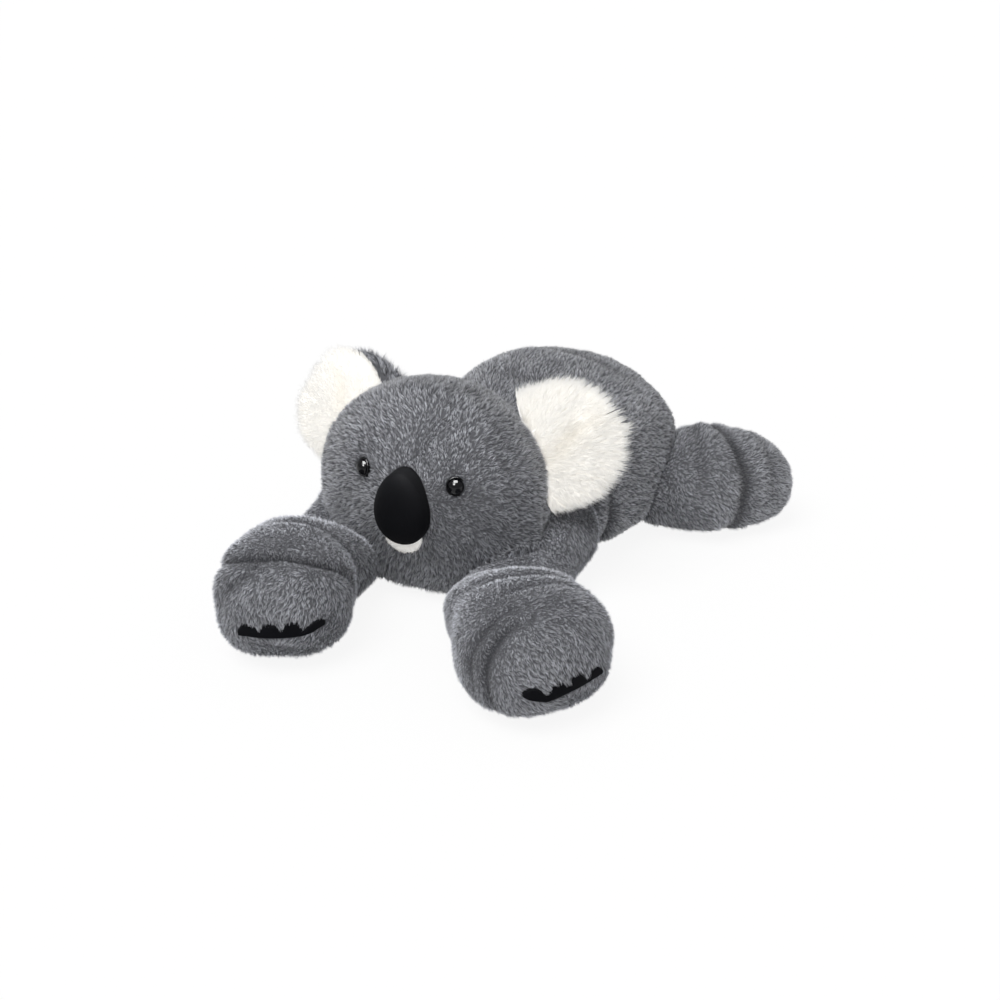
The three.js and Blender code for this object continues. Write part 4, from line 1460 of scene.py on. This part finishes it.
class KOALA_OT_claws(bpy.types.Operator):
    """Makes the felt claws from the frame's strips"""

    bl_idname = "koala.claws"
    bl_label = "Claws"

    def execute(self, context):
        material = felt_material("Claw felt", colours().black, 0.9, 0.5)
        for side in SIDES:
            strip = frame["nodes"][f"claw_strip_{side}"].copy()
            strip.data = strip.data.copy()
            strip.parent = None
            for key in list(strip.keys()):
                del strip[key]
            strip.name = f"claws_{side}_felt"
            bpy.context.scene.collection.objects.link(strip)
            in_edit_mode(strip, bpy.ops.mesh.remove_doubles, threshold=CLAW_MERGE)
            remesh = strip.modifiers.new("Even", "REMESH")
            remesh.mode = "VOXEL"
            remesh.voxel_size = CLAW_GRAIN
            soften = strip.modifiers.new("Soften", "SMOOTH")
            soften.factor = 0.5
            soften.iterations = 4
            select_only(strip)
            for name in [modifier.name for modifier in strip.modifiers]:
                bpy.ops.object.modifier_apply(modifier=name)
            strip.data.materials.clear()
            strip.data.materials.append(material)
            bpy.ops.object.shade_smooth()
            finished(strip, f"arm_{side}", [f"claw_strip_{side}"])
        return {"FINISHED"}


class KOALA_OT_inside(bpy.types.Operator):
    """Finishes the stuffing and the eyes' washers"""

    bl_idname = "koala.inside"
    bl_label = "Inside"

    def execute(self, context):
        fibre = Shader("Polyester fibre")
        tuft = fibre.noise(90, 6, 0.7)
        fibre.set(Base_Color=fibre.mix(tuft, *FIBRE_COLOURS), Roughness=0.9,
                  Normal=fibre.bump(tuft, 0.6, 1.5 * MM))
        plastic = Shader("Washer plastic")
        flecks = plastic.noise(500, 2)
        plastic.set(Base_Color=plastic.mix(flecks, *WASHER_COLOURS), Roughness=0.45)
        for name, node in frame["nodes"].items():
            chosen = plastic if "washer" in name else fibre if "stuffing" in name or "wadding" in name else None
            if chosen:
                node.data.materials.clear()
                node.data.materials.append(chosen.material)
        return {"FINISHED"}


def view_axes():
    """The photograph's right, up and back directions."""
    turn, rise = math.radians(VIEW_AZIMUTH), math.radians(VIEW_ELEVATION)
    right = Vector((math.cos(turn), math.sin(turn), 0))
    back = Vector((math.sin(turn) * math.cos(rise), -math.cos(turn) * math.cos(rise), math.sin(rise)))
    return right, back.cross(right), back


class KOALA_OT_stage(bpy.types.Operator):
    """Makes the floor, the lamps and the camera"""

    bl_idname = "koala.stage"
    bl_label = "Stage"

    def execute(self, context):
        self.camera()
        self.floor()
        self.light()
        context.scene.view_settings.view_transform = "Standard"
        return {"FINISHED"}

    def camera(self):
        """Looks from the photograph's side."""
        right, up, back = view_axes()
        data = bpy.data.cameras.new("View")
        data.lens = LENS_MM
        data.sensor_width = SENSOR_MM
        camera = bpy.data.objects.new("View", data)
        aim = Vector(CENTRE) + right * VIEW_SHIFT_RIGHT + up * VIEW_SHIFT_UP
        turn = Matrix((right, up, back)).transposed().to_4x4()
        camera.matrix_world = Matrix.Translation(aim + back * VIEW_DISTANCE) @ turn
        bpy.context.scene.collection.objects.link(camera)
        bpy.context.scene.camera = camera

    def floor(self):
        """A pale floor that keeps the shadow."""
        bpy.ops.object.select_all(action="DESELECT")
        bpy.ops.mesh.primitive_plane_add(size=FLOOR_SIZE, location=(0, 0, 0))
        floor = bpy.context.object
        floor.name = "floor"
        shader = Shader("Floor")
        shader.set(Base_Color=FLOOR_COLOUR, Roughness=0.9, Specular_IOR_Level=0.0)
        rays = ("Is Camera Ray", "Is Glossy Ray", "Is Transmission Ray")
        camera, glossy, clear = (shader.node("ShaderNodeLightPath", output=ray) for ray in rays)
        white = shader.node("ShaderNodeEmission", {}, {"Color": (1, 1, 1), "Strength": 1.0})
        lit = Field(shader, shader.surface.outputs[0])
        values = {0: (camera + glossy + clear) * FLOOR_WHITE, 1: lit, 2: white}
        mixed = shader.node("ShaderNodeMixShader", {}, values)
        shader.feed(shader.tree.nodes["Material Output"].inputs["Surface"], mixed)
        floor.data.materials.append(shader.material)

    def light(self):
        """A pale world, white to the camera alone, one soft sun, and two lamps for the gloss."""
        world = bpy.data.worlds.new("Studio")
        world.use_nodes = True
        nodes = Nodes(world.node_tree)
        background = nodes.tree.nodes["Background"]
        seen = nodes.node("ShaderNodeLightPath", output="Is Camera Ray")
        strength = nodes.node("ShaderNodeMapRange", {}, {"Value": seen, "To Min": WORLD_LIGHT}, "Result")
        nodes.feed(background.inputs["Color"], (1, 1, 1))
        nodes.feed(background.inputs["Strength"], strength)
        bpy.context.scene.world = world
        key = bpy.data.lights.new("Key", "SUN")
        key.energy = KEY_LIGHT
        key.angle = math.radians(KEY_SOFTNESS)
        lamp = bpy.data.objects.new("Key", key)
        lamp.rotation_euler = [math.radians(turn) for turn in KEY_TURN]
        bpy.context.scene.collection.objects.link(lamp)
        right, up, back = view_axes()
        self.softbox("Front softbox", back - right * 0.3 + up * 0.35, size=0.55, energy=28)
        self.softbox("Top softbox", Vector((0, 0, 1)) + back * 0.1, size=1.2, energy=130)

    def softbox(self, name, away, size, energy):
        """A lamp that only glossy surfaces show."""
        box = bpy.data.lights.new(name, "AREA")
        box.shape = "SQUARE"
        box.size = size
        box.energy = energy
        lamp = bpy.data.objects.new(name, box)
        away = away.normalized()
        turn = away.to_track_quat("Z", "Y").to_matrix().to_4x4()
        lamp.matrix_world = Matrix.Translation(Vector(CENTRE) + away * SOFTBOX_DISTANCE) @ turn
        lamp.visible_diffuse = False
        lamp.visible_camera = False
        bpy.context.scene.collection.objects.link(lamp)


OPERATORS = (
    KOALA_OT_torso, KOALA_OT_head, KOALA_OT_arms, KOALA_OT_legs, KOALA_OT_ears, KOALA_OT_nose, KOALA_OT_eyes,
    KOALA_OT_claws, KOALA_OT_inside, KOALA_OT_stage,
)


class KOALA_PT_build(bpy.types.Panel):
    """The koala's sizes, colours and steps"""

    bl_label = "Koala"
    bl_space_type = "VIEW_3D"
    bl_region_type = "UI"
    bl_category = "Koala"

    def draw(self, context):
        for group in (sizes(), colours()):
            for name in group.bl_rna.properties.keys():
                if name not in ("rna_type", "name"):
                    self.layout.prop(group, name)
        for operator in OPERATORS:
            self.layout.operator(operator.bl_idname)


CLASSES = (KoalaSizes, KoalaColours, *OPERATORS, KOALA_PT_build)


def register():
    for item in CLASSES:
        bpy.utils.register_class(item)
    bpy.types.Scene.koala_sizes = PointerProperty(type=KoalaSizes)
    bpy.types.Scene.koala_colours = PointerProperty(type=KoalaColours)


def unregister():
    del bpy.types.Scene.koala_colours
    del bpy.types.Scene.koala_sizes
    for item in reversed(CLASSES):
        bpy.utils.unregister_class(item)


def main():
    register()
    for operator in OPERATORS:
        name = operator.bl_idname.split(".")[1]
        getattr(bpy.ops.koala, name)()


if __name__ == "__main__":
    main()
